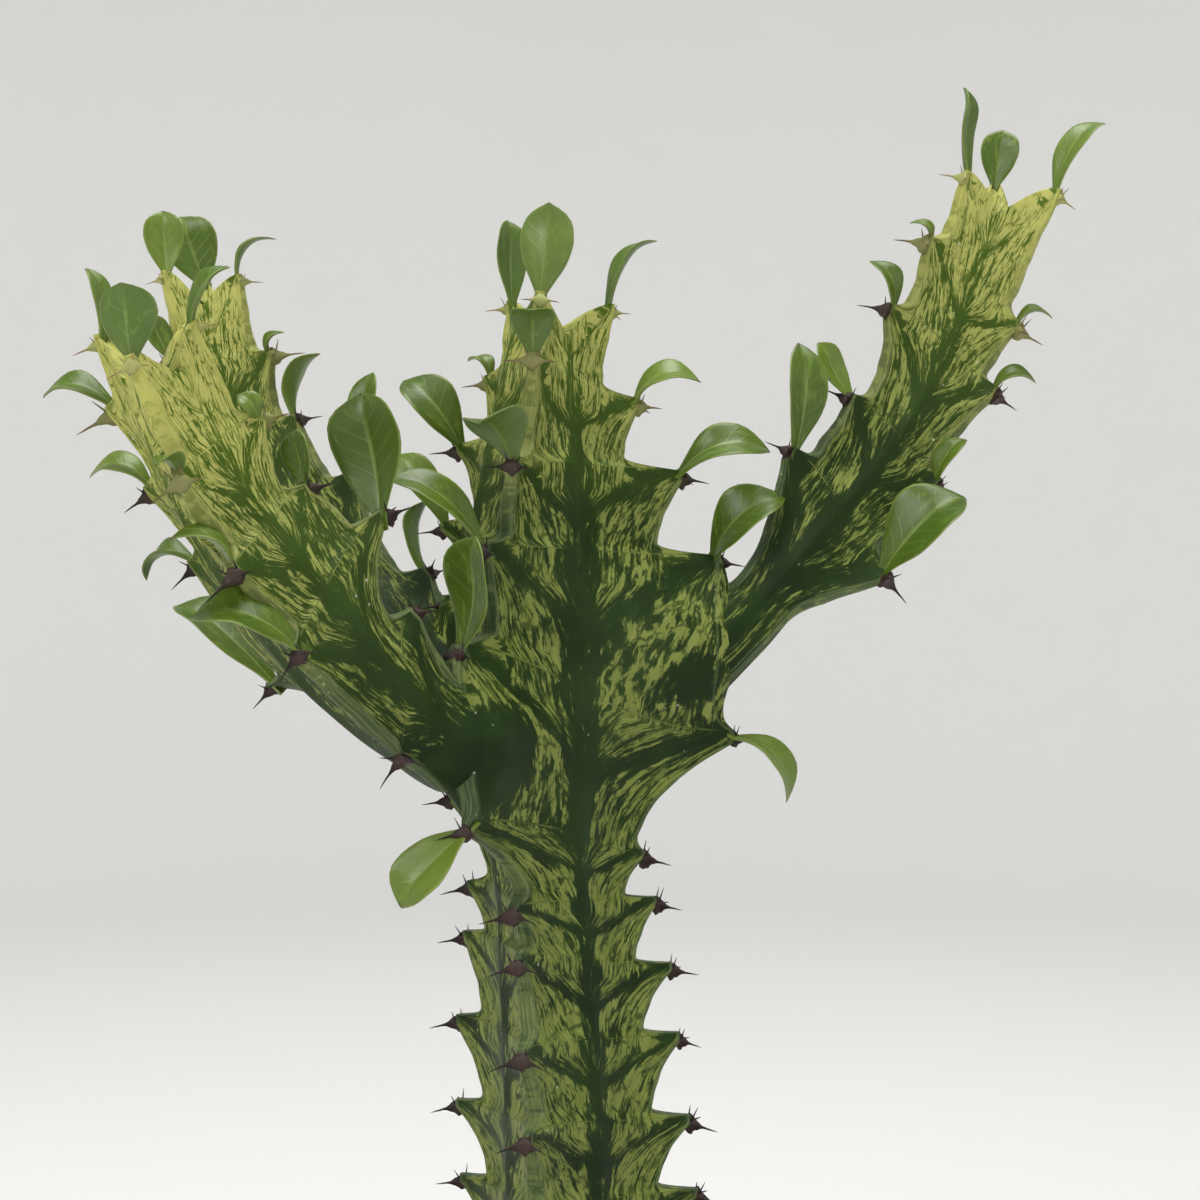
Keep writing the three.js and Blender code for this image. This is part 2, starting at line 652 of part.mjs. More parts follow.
function pot() {
  const lip = POT_HEIGHT - RIM_HEIGHT;
  const shell = lathe([
    [0, 0],
    [POT_BASE_RADIUS - RIM_ROUND, 0],
    [POT_BASE_RADIUS, RIM_ROUND],
    [POT_BODY_TOP_RADIUS, lip],
    [RIM_RADIUS - RIM_ROUND, lip + 1],
    [RIM_RADIUS, lip + 1 + RIM_ROUND],
    [RIM_RADIUS, POT_HEIGHT - RIM_ROUND],
    [RIM_RADIUS - RIM_ROUND, POT_HEIGHT],
    [RIM_RADIUS - POT_WALL - 1, POT_HEIGHT],
    [potInner(POT_HEIGHT), POT_HEIGHT - RIM_ROUND],
    [potInner(POT_FLOOR + 3), POT_FLOOR + 3],
    [potInner(POT_FLOOR) - 3, POT_FLOOR],
    [0, POT_FLOOR],
  ], POT_SIDES);
  let solid = toManifold(shell);
  for (let i = 0; i < DRAIN_HOLES; i += 1) {
    const angle = (i + 0.5) / DRAIN_HOLES * Math.PI * 2;
    const drill = new THREE.CylinderGeometry(DRAIN_RADIUS, DRAIN_RADIUS, POT_FLOOR * 3, 16);
    drill.rotateX(Math.PI / 2);
    drill.translate(DRAIN_CIRCLE * Math.cos(angle), DRAIN_CIRCLE * Math.sin(angle), POT_FLOOR / 2);
    solid = solid.subtract(toManifold(drill));
  }
  return toGeometry(solid);
}

function potInner(height) {
  const slope = (POT_BODY_TOP_RADIUS - POT_BASE_RADIUS) / (POT_HEIGHT - RIM_HEIGHT);
  return POT_BASE_RADIUS - POT_WALL + slope * height;
}

// The potting mix: a round plug that fills the pot, uneven on top, with a plain hole for the stem
function soil() {
  const bottom = POT_FLOOR + 3;
  const foot = MAIN_STEM.round[0][0] - GAP;
  const hole = MAIN_STEM.round[2][1] + GAP;
  const outer = potInner(SOIL_LEVEL) - GAP;
  const profile = [[0, bottom], [potInner(bottom) - GAP, bottom], [outer, SOIL_LEVEL]];
  for (let i = 1; i <= SOIL_RINGS; i += 1) {
    profile.push([outer + (hole + 1 - outer) * i / SOIL_RINGS, SOIL_LEVEL + SOIL_RELIEF]);
  }
  profile.push([hole, SOIL_LEVEL], [hole, foot], [0, foot]);
  const geometry = lathe(profile, SOIL_SIDES);
  const position = geometry.attributes.position;
  for (let i = 0; i < position.count; i += 1) {
    if (position.getZ(i) > SOIL_LEVEL + SOIL_RELIEF / 2) {
      const x = position.getX(i);
      const y = position.getY(i);
      const wave = Math.sin(x * 0.21 + 1.3) * Math.cos(y * 0.17) + Math.sin(x * 0.09 - y * 0.24);
      position.setZ(i, SOIL_LEVEL + SOIL_RELIEF + wave * SOIL_RELIEF / 2);
    }
  }
  return toGeometry(toManifold(geometry));
}

const plant = new THREE.Group();
addMesh(plant, 'pot', pot(), finish(COLOURS.clay, 0.85));
addMesh(plant, 'soil', soil(), finish(COLOURS.soil, 0.95));
addMesh(plant, MAIN_STEM.name, toGeometry(largestPiece(leafyStem(MAIN_STEM))), finish(COLOURS.stem, 0.45));
const trunkRoom = spinyStem(MAIN_STEM, FLUSH_JOIN);
[RIGHT_BRANCH, FRONT_LEFT_BRANCH, BACK_LEFT_BRANCH].forEach((branch) => {
  const solid = largestPiece(leafyStem(branch).subtract(trunkRoom));
  addMesh(plant, branch.name, toGeometry(solid), finish(COLOURS.stem, 0.45));
});

export default plant;
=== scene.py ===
import math

import bmesh
import bpy
import numpy as np
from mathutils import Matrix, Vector, noise
from mathutils.bvhtree import BVHTree


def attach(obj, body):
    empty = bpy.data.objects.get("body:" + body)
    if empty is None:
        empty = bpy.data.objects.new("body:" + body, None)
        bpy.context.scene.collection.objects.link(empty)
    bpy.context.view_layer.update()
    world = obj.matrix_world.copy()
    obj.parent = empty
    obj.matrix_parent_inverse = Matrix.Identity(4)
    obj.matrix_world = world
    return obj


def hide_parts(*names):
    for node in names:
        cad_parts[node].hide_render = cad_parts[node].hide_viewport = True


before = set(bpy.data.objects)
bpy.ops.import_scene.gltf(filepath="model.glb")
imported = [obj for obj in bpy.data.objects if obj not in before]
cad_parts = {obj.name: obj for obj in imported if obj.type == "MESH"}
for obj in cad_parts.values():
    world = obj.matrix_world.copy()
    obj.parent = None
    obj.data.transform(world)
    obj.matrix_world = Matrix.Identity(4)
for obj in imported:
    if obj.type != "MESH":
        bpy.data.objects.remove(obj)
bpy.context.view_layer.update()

MM = 0.001

# Stems, mm: the same values as the part's source. A tooth is [distance along the stem, reach,
# reach above its shelf, swelling of the rib up to the next tooth]. A leaf is (tooth, way to
# its tip, width, way its upper side faces, bend). The other tables give a value at a distance
# along the stem: young is how young the skin is there, pale how much of it is pale.
MAIN_STEM = {
  "name": "main_stem",
  "long_foot": False,
  "young": [[250, 0], [322, 0.05], [345, 0.3], [360, 0.6], [376, 1]],
  "pale": [[103, 0.58], [235, 0.58], [262, 0.5], [300, 0.5], [330, 0.5], [372, 0.6]],
  "path": [
    [0, 0, 72], [0, 0, 130], [0, 0, 190], [-1.8, 0, 226], [-2.6, 0, 242],
    [-4, 0, 275], [-5.3, 0, 320], [-4.7, 0, 345], [-4, 0, 366],
  ],
  "start": 72,
  "round": [[72, 12], [74, 14], [103, 15.5]],
  "core": [[103, 13], [190, 12.5], [242, 11.5], [275, 15], [320, 15], [345, 11], [366, 7]],
  "waist": 0.69,
  "first_ruled_leaf": 15,
  "ribs": [
    {
      "turn": [[103, 15]],
      "teeth": [
        [112, 24], [127, 30], [143, 32], [158, 32], [173.7, 31.5], [189.6, 30], [207.4, 28.5],
        [223.3, 27.5], [238.3, 25], [248.8, 22.5, 20.3], [274.6, 44.8, 41, 6], [315.4, 42.6, 27.7],
        [335.8, 33.6, 19.3], [351.4, 23, 14], [371.9, 16.3, 9],
      ],
      "leaves": [
        (10, (14, -3, -13), 10, (0.6, -0.5, 0.5), -0.24),
        (11, (14, -6, 15), 13, (-0.4, -0.8, 0.5), -0.2),
        (12, (20, -3, 7), 11, (-0.2, -0.75, 0.65), -0.22),
        (13, (14, -3, 6), 9, (-0.2, -0.6, 0.75), -0.26),
        (14, (9, 2, 17), 9, (-0.8, -0.3, 0.5), -0.1),
      ],
    },
    {
      "turn": [[103, 135]],
      "teeth": [
        [109, 23], [124, 30], [140, 32], [156, 33], [172.7, 33], [190.5, 34], [210.9, 32.9],
        [230.6, 28.8], [242.3, 26], [262, 32, 29, 6], [307, 30, 20], [323.4, 31.4, 18.7],
        [340.9, 26.9, 15], [355.9, 17.6, 11], [372.5, 11.5, 7.5],
      ],
      "leaves": [
        (11, (-12, 3, 18), 9, (0.3, -0.8, 0.5), -0.1),
        (12, (-13, 1, 17), 12, (0.1, -0.8, 0.6), -0.12),
        (13, (-5, 3, 6), 5, (0.3, -0.5, 0.8), -0.3),
        (14, (0, 1, 20), 9, (0.6, -0.8, 0.1), 0.05),
      ],
    },
    {
      "turn": [
        [103, 259], [232, 257], [243, 255], [261, 246], [294, 246], [317, 250], [335, 261], [372, 270],
      ],
      "teeth": [
        [114, 24], [129, 29], [145, 31], [161, 31], [178.6, 30.5], [196.1, 30], [213.2, 29],
        [232.1, 27.5], [242.3, 26], [261, 37, 34, 5], [297, 38, 24], [317.3, 30, 20],
        [335, 27, 15], [357.9, 19, 11], [371.5, 14, 8],
      ],
      "leaves": [
        (9, (-14, -5, -14), 12, (-0.4, -0.8, 0.4), -0.05),
        (10, (1, -6, 23), 14, (-0.7, -0.7, 0.1), 0.14),
        (11, (-18, -6, 16), 10, (0.2, -0.6, 0.8), -0.12),
        (12, (-6, -12, 9), 14, (0, 0.4, 0.9), -0.15),
        (13, (0, -8, 10), 10, (0, 0.7, 0.7), -0.2),
        (14, (2, 0, 20), 12, (0.1, 1, 0.1), 0.06),
      ],
    },
  ],
}

RIGHT_BRANCH = {
  "name": "right_branch",
  "long_foot": True,
  "young": [[20, 0], [70, 0.08], [95, 0.35], [118, 0.7], [135, 1]],
  "pale": [[14, 0.34], [40, 0.42], [75, 0.48], [110, 0.56], [135, 0.7]],
  "path": [
    [24, 9, 287], [39.1, 10, 299.8], [51.8, 12, 313.8], [65.6, 14, 329.7],
    [77.6, 15, 346.2], [85.8, 15, 362.1], [91.8, 14, 377.5], [97.1, 12, 391.9],
  ],
  "start": -6,
  "round": [[-6, 3], [4, 6.5], [14, 7.6]],
  "core": [[14, 7], [40, 9.5], [100, 8], [125, 5.5]],
  "waist": 0.72,
  "first_ruled_leaf": 0,
  "ribs": [
    {
      "turn": [[0, 210]],
      "teeth": [[52.4, 20.2], [72.2, 16.6], [97.2, 18.5], [115.1, 15.5], [131.6, 12]],
      "leaves": [
        (0, (2, -4, 24), 10, (0.4, -0.9, 0.1), -0.1),
        (1, (-7, -2, 13), 7, (0.3, -0.8, 0.4), 0.1),
        (2, (-4, -2, 11), 7, (0.5, -0.7, 0.4), -0.2),
        (3, (-4, -1, 5), 4, (0.4, -0.5, 0.7), -0.3),
        (4, (1, -1, 20), 8, (0.8, -0.5, 0.1), 0.08),
      ],
    },
    {
      "turn": [[0, 330]],
      "teeth": [[44, 20.2], [67, 15.8], [89.2, 16.8], [103.8, 15.6], [134.8, 13]],
      "leaves": [
        (0, (16, -4, 18), 17, (-0.6, -0.7, 0.4), -0.08),
        (1, (6, -2, 10), 7, (-0.7, -0.6, 0.4), -0.1),
        (2, (9, -2, 3), 6, (-0.3, -0.5, 0.8), -0.3),
        (3, (8, -1, 3), 5, (-0.3, -0.3, 0.9), -0.28),
        (4, (10, 0, 17), 8, (-0.7, -0.6, 0.4), -0.12),
      ],
    },
    {
      "turn": [[0, 92]],
      "teeth": [[48, 18], [70, 16.5], [93, 17.5], [113, 15.5], [133.5, 11.5]],
      "leaves": [
        (0, (1, 8, 18), 14, (0, -0.8, 0.6), -0.1),
        (4, (2, 0, 14), 9, (-0.2, -1, 0.1), 0.06),
      ],
    },
  ],
}

FRONT_LEFT_BRANCH = {
  "name": "front_left_branch",
  "long_foot": True,
  "young": [[26, 0], [60, 0.12], [90, 0.42], [118, 0.95]],
  "pale": [[20, 0.36], [50, 0.42], [80, 0.48], [105, 0.56], [130, 0.72]],
  "path": [
    [-12, -14, 278], [-24.2, -28, 279.5], [-38.7, -43, 293], [-52.2, -50, 308.9],
    [-63.3, -56, 325.1], [-71.3, -61, 341.8], [-76.4, -65, 355.3], [-78.5, -67, 364.3],
  ],
  "start": 9,
  "round": [[-1, 4], [4, 6], [9, 7.6], [20, 9.3], [26, 10.4]],
  "core": [[26, 10], [60, 10.5], [100, 8], [134, 5.5]],
  "waist": 0.72,
  "first_ruled_leaf": 1,
  "ribs": [
    {
      "turn": [[0, 150]],
      "teeth": [[55.7, 28, 18], [87, 17], [102.5, 16], [118.5, 15], [131, 11]],
      "leaves": [
        (0, (-20, 2, 18), 13, (0.5, -0.6, 0.6), -0.05),
        (1, (-11, 2, -2), 10, (-0.2, -0.3, 0.9), -0.3),
        (2, (-12, 0, 4), 8, (0, -0.5, 0.85), -0.26),
        (3, (-14, 0, 4), 8, (0, -0.55, 0.85), -0.2),
        (4, (-2, 0, 14), 6, (0.8, -0.4, 0.3), -0.05),
      ],
    },
    {
      "turn": [[0, 268]],
      "teeth": [[38, 11, 10.4], [66.8, 17], [85.8, 15.2], [104.6, 14.5], [127, 11.5]],
      "leaves": [
        (1, (-18, -5, 8), 16, (0.1, -0.5, 0.8), -0.15),
        (2, (-10, -5, 7), 8, (0.1, -0.3, 0.9), -0.2),
        (3, (-3, -5, 3), 6, (0, 0.2, 1), -0.3),
        (4, (-1, -2, 14), 11, (0, 0.9, 0.3), 0.05),
      ],
    },
    {
      "turn": [[0, 30]],
      "teeth": [[53, 16], [73, 25.2], [88, 16], [106.5, 15.6], [129, 11]],
      "leaves": [
        (1, (-5, 1, 25), 16, (-0.4, -0.9, 0.1), 0.08),
        (2, (-2, -1, 12), 7, (-0.5, -0.8, 0.3), 0.08),
        (3, (-3, -2, 5), 5, (-0.3, -0.5, 0.8), -0.2),
        (4, (6, 0, 12), 6, (-0.7, -0.6, 0.4), -0.1),
      ],
    },
  ],
}

BACK_LEFT_BRANCH = {
  "name": "back_left_branch",
  "long_foot": True,
  "young": [[20, 0], [75, 0.1], [112, 0.45], [142, 0.95]],
  "pale": [[20, 0.36], [60, 0.42], [100, 0.48], [140, 0.68]],
  "path": [
    [-17, 11, 279], [-27.9, 19, 288], [-41.7, 28, 300.5], [-55.7, 36, 314.2], [-67.4, 42, 328.8],
    [-77.4, 46, 346.1], [-84.4, 48, 363.4], [-88.3, 48, 380.5], [-89.5, 48, 388.4],
  ],
  "start": 5,
  "round": [[5, 7], [14, 10], [20, 10.5]],
  "core": [[20, 9.5], [60, 9.5], [110, 8], [140, 5.5]],
  "waist": 0.72,
  "first_ruled_leaf": 0,
  "ribs": [
    {
      "turn": [[0, 334]],
      "teeth": [[43, 17], [77, 20], [100.2, 15.5], [119.8, 16], [142.2, 12]],
      "leaves": [
        (1, (3, 2, 26), 9, (-0.5, -0.8, 0.1), 0.06),
        (3, (3, -1, 6), 4, (-0.5, -0.5, 0.7), -0.3),
        (4, (8, 0, 11), 6, (-0.6, -0.3, 0.7), -0.22),
      ],
    },
    {
      "turn": [[0, 94]],
      "teeth": [[42, 17], [68, 16.5], [94, 16], [118, 14], [144, 10.5]],
      "leaves": [
        (4, (-6.5, 0, 18.5), 14, (0.2, -1, 0.1), 0.06),
      ],
    },
    {
      "turn": [[0, 214]],
      "teeth": [[45, 17], [70, 16], [100, 15], [126, 13], [145.5, 10]],
      "leaves": [
        (3, (-5, -1, 11), 7, (0.4, -0.8, 0.4), 0.1),
        (4, (-1, -1, 16), 10, (0.1, -1, 0.1), 0.06),
      ],
    },
  ],
}

# Stem section and teeth, mm
RIB_TIP_HALF = 1.0
RIB_WAIST_HALF = 2.0
FACE_POWER = 1.8
SWEEP_POWER = 2.1
BLUNT_FROM = 0.9
TOOTH_TOP = 1.4
SHELF_SHARE = 0.17
SHELF_POWER = 2.8
CROWN_DROP = 8
FOOT_BLEND = 0.6
JOINT_REACH = 9
JOINT_RISE = 2.2
WEDGE_SLOPE = 0.62
WEDGE_POWER = 1.25
EDGE_STOPS = [-1, -0.94, -0.8, -0.5, 0, 0.5, 0.8, 0.94, 1]
FACE_STOPS = [0.05, 0.12, 0.21, 0.31, 0.42, 0.53, 0.64, 0.75, 0.86, 0.94, 1]
TOOTH_STOPS = (
    [0.012, 0.03, 0.05, 0.075, 0.1, 0.13, 0.165]
    + [0.2 + 0.0375 * i for i in range(17)]
    + [0.83, 0.86, 0.89, 0.92, 0.945, 0.97, 0.987, 1]
)

# Leaves and spines, mm
LEAF_THICK = 1.0
LEAF_SINK = 2.5
LEAF_INSET = 1.4
LEAF_MARKS = [0, 0.08, 0.16, 0.38, 0.6, 0.82, 0.93, 1]
LEAF_WIDTHS = [0.16, 0.25, 0.40, 0.80, 1.0, 0.90, 0.60, 0.05]
LEAF_FOLD = 0.32
LEAF_STATIONS = [0, 0.05, 0.1, 0.16, 0.23, 0.3, 0.38, 0.46, 0.54, 0.62, 0.7, 0.78, 0.85, 0.91, 0.96, 1]
LEAF_EDGES = [-1, -0.93, -0.78, -0.55, -0.28, -0.06, 0.06, 0.28, 0.55, 0.78, 0.93, 1]
LEAF_SEED = 7
CROWN_LEAVES = 5
# Leaves by rule, where the photo shows none on a young tooth: least value and spread
RULED_LEAN = (38, 26)
RULED_LENGTH = (12, 7)
RULED_BEND = (-0.06, -0.12)
SPINE_ACROSS = 5.5
SPINE_OUT = 4.3
SPINE_DROP = 0.6
YOUNG_SPINE = 0.72
SHIELD_SIDES = 10
PRICKLE_SIDES = 6

# Pot and soil, mm
POT_HEIGHT = 118
POT_BASE_RADIUS = 47
POT_BODY_TOP_RADIUS = 66
RIM_RADIUS = 73
RIM_HEIGHT = 24
POT_WALL = 6
POT_FLOOR = 7
DRAIN_HOLES = 4
DRAIN_RADIUS = 4.5
DRAIN_CIRCLE = 25
SOIL_LEVEL = 103
SOIL_RELIEF = 1.3
SOIL_RINGS = 34
SOIL_SIDES = 150
STEM_HOLE_RADIUS = 16.2
STEM_HOLE_FLOOR = 74
GRAIN_COUNT = 1150
GRAIN_SEED = 31
GRAIN_SHARES = [0.52, 0.17, 0.2, 0.11]
GRAIN_SIZES = [(0.6, 1.5), (0.7, 1.7), (0.5, 1.4), (1.2, 2.6)]
BARK = 3
GAP = 0.3

# Stage, mm
STAGE_FLOOR = 1500
STAGE_BEND = 700
STAGE_WALL = 2600
STAGE_SIDES = 96

# Camera, mm: level with the middle of the crown, in front of the plant
CAMERA_SPOT = (8.8, -420, 307)
CAMERA_HALF_VIEW = 132


# Mesh helpers

def unit(v):
    return v / np.linalg.norm(v, axis=-1, keepdims=True)


def smooth(x, low, high):
    t = np.clip((np.asarray(x, float) - low) / (high - low), 0, 1)
    return t * t * (3 - 2 * t)


def table(rows, x):
    return np.interp(x, [r[0] for r in rows], [r[1] for r in rows])


def wobble(x, seed):
    """A smooth wave between about -1 and 1 that doesn't repeat soon."""
    return (
        0.5 * np.sin(x * 1.0 + seed * 12.9)
        + 0.3 * np.sin(x * 2.3 + seed * 4.1)
        + 0.2 * np.sin(x * 4.7 + seed * 7.7)
    )


def random_source(seed):
    """An endless row of numbers between 0 and 1, the same on every run."""
    state = seed
    while True:
        state = (state * 16807) % 2147483647
        yield state / 2147483647


def mesh_object(name, points, faces, material, values=None, face_values=None):
    """A smooth mesh piece from points in mm, with named values on its points and faces."""
    mesh = bpy.data.meshes.new(name)
    mesh.from_pydata((np.asarray(points) * MM).tolist(), [], faces)
    for domain, rows in (("POINT", values), ("FACE", face_values)):
        for key, row in (rows or {}).items():
            attribute = mesh.attributes.new(key, "FLOAT", domain)
            attribute.data.foreach_set("value", np.asarray(row, np.float32))
    mesh.polygons.foreach_set("use_smooth", [True] * len(mesh.polygons))
    mesh.materials.append(material)
    mesh.validate()
    piece = bpy.data.objects.new(name, mesh)
    bpy.context.collection.objects.link(piece)
    return piece


class Parts:
    """Small closed bodies gathered into one mesh."""

    def __init__(self, keys):
        self.points, self.faces = [], []
        self.values = {key: [] for key in keys}
        self.count = 0

    def add(self, points, faces, **values):
        self.points.append(np.asarray(points, float))
        self.faces += [[i + self.count for i in face] for face in faces]
        for key, row in self.values.items():
            row.append(np.broadcast_to(np.asarray(values[key], float), (len(points),)))
        self.count += len(points)

    def build(self, name, material):
        values = {key: np.concatenate(row) for key, row in self.values.items()}
        return mesh_object(name, np.concatenate(self.points), self.faces, material, values)


def tube_faces(rings, size):
    """Faces of a closed body made of rings, with one end point before and one after them."""
    faces = []
    for r in range(rings - 1):
        for c in range(size):
            d = (c + 1) % size
            a = 1 + r * size
            faces.append([a + c, a + d, a + size + d, a + size + c])
    last = 1 + (rings - 1) * size
    end = rings * size + 1
    for c in range(size):
        d = (c + 1) % size
        faces.append([0, 1 + d, 1 + c])
        faces.append([end, last + c, last + d])
    return faces


# Stem axis

class StemLine:
    """A smooth curve through the marks that goes on straight past its last one."""

    def __init__(self, stem):
        self.marks = np.array(stem["path"], float)
        self.start = stem["start"]
        self.grid = np.linspace(0, 1, 401)
        spots = self.spot(self.grid)
        steps = np.linalg.norm(np.diff(spots, axis=0), axis=1)
        self.run = np.concatenate([[0], np.cumsum(steps)])

    def spot(self, share):
        marks = self.marks
        last = len(marks) - 1
        place = np.clip(share, 0, 1) * last
        first = np.minimum(np.floor(place).astype(int), last - 1)
        w = (place - first)[:, None]
        row = np.vstack([2 * marks[0] - marks[1], marks, 2 * marks[-1] - marks[-2]])
        p0, p1, p2, p3 = (row[first + k] for k in range(4))
        d0, d1, d2 = (
            (((b - a) ** 2).sum(1) ** 0.25)[:, None] for a, b in ((p0, p1), (p1, p2), (p2, p3))
        )
        t1 = ((p1 - p0) / d0 - (p2 - p0) / (d0 + d1) + (p2 - p1) / d1) * d1
        t2 = ((p2 - p1) / d1 - (p3 - p1) / (d1 + d2) + (p3 - p2) / d2) * d1
        cubic = 2 * p1 - 2 * p2 + t1 + t2
        square = -3 * p1 + 3 * p2 - 2 * t1 - t2
        return p1 + t1 * w + square * w**2 + cubic * w**3

    def frame(self, along):
        distance = np.atleast_1d(np.asarray(along, float)) - self.start
        inside = np.clip(distance, 0, self.run[-1])
        share = np.interp(inside, self.run, self.grid)
        step = 1e-4
        ahead = self.spot(np.minimum(share + step, 1)) - self.spot(np.maximum(share - step, 0))
        up = unit(ahead)
        centre = self.spot(share) + up * (distance - inside)[:, None]
        side = unit(np.array([1.0, 0, 0]) - up * up[:, :1])
        return centre, up, side, np.cross(up, side)

    def outward(self, along, degrees):
        _, _, side, back = self.frame(along)
        angle = np.radians(np.atleast_1d(degrees))[:, None]
        return side * np.cos(angle) + back * np.sin(angle)

    def point(self, along, degrees, reach):
        return self.frame(along)[0] + self.outward(along, degrees) * np.atleast_1d(reach)[:, None]


def rib_rows(stem, rib, index, phase):
    """Along, angle, reach, half width and sideways lean of a rib at each phase."""
    foot = stem["round"][-1]
    lower = np.maximum(np.ceil(phase - 1e-9).astype(int) - 1, 0)
    share = phase - lower
    marks = [[foot[0] - TOOTH_TOP, foot[1], foot[1], 0]]
    for tooth in rib["teeth"]:
        waist = tooth[2] if len(tooth) > 2 else tooth[1] * stem["waist"]
        marks.append([tooth[0], tooth[1], waist, tooth[3] if len(tooth) > 3 else 0])
    marks = np.array(marks, float)
    start, end = marks[lower], marks[lower + 1]
    along = start[:, 0] + (end[:, 0] - start[:, 0]) * share + TOOTH_TOP
    sweep = np.minimum(1, share / BLUNT_FROM) ** SWEEP_POWER
    shelf = np.clip(1 - share / SHELF_SHARE, 0, 1) ** SHELF_POWER
    reach = start[:, 2] + (start[:, 1] - start[:, 2]) * shelf + (end[:, 1] - start[:, 2]) * sweep
    narrow = np.clip(np.where(lower > 0, shelf, 0) + sweep, 0, 1)
    swelling = start[:, 3] * np.sin(np.pi * share)
    half = RIB_WAIST_HALF + (RIB_TIP_HALF - RIB_WAIST_HALF) * narrow + swelling
    seed = index + len(stem["name"]) * 0.37
    calm = smooth(along, foot[0], foot[0] + 25) * (1 - narrow)
    reach += 0.35 * wobble(along * 0.33, seed) * calm
    half *= 1 + 0.1 * wobble(along * 0.21, seed + 3)
    lean = 0.55 * wobble(along * 0.16, seed + 5) * smooth(along, foot[0], foot[0] + 25)
    # Where the pattern is measured from: the tips' outline, this bay's edge and the next waist
    outline = np.interp(along, marks[1:, 0] + TOOTH_TOP, marks[1:, 1])
    own_edge = start[:, 2] + (end[:, 1] - start[:, 2]) * sweep
    return along, table(rib["turn"], along), reach, half, lean, (outline, own_edge, end[:, 2])


def edge_round(half):
    """How far the edge of a rib of this half width is rounded off."""
    return np.minimum(0.35 * half + 0.15, 2.6)


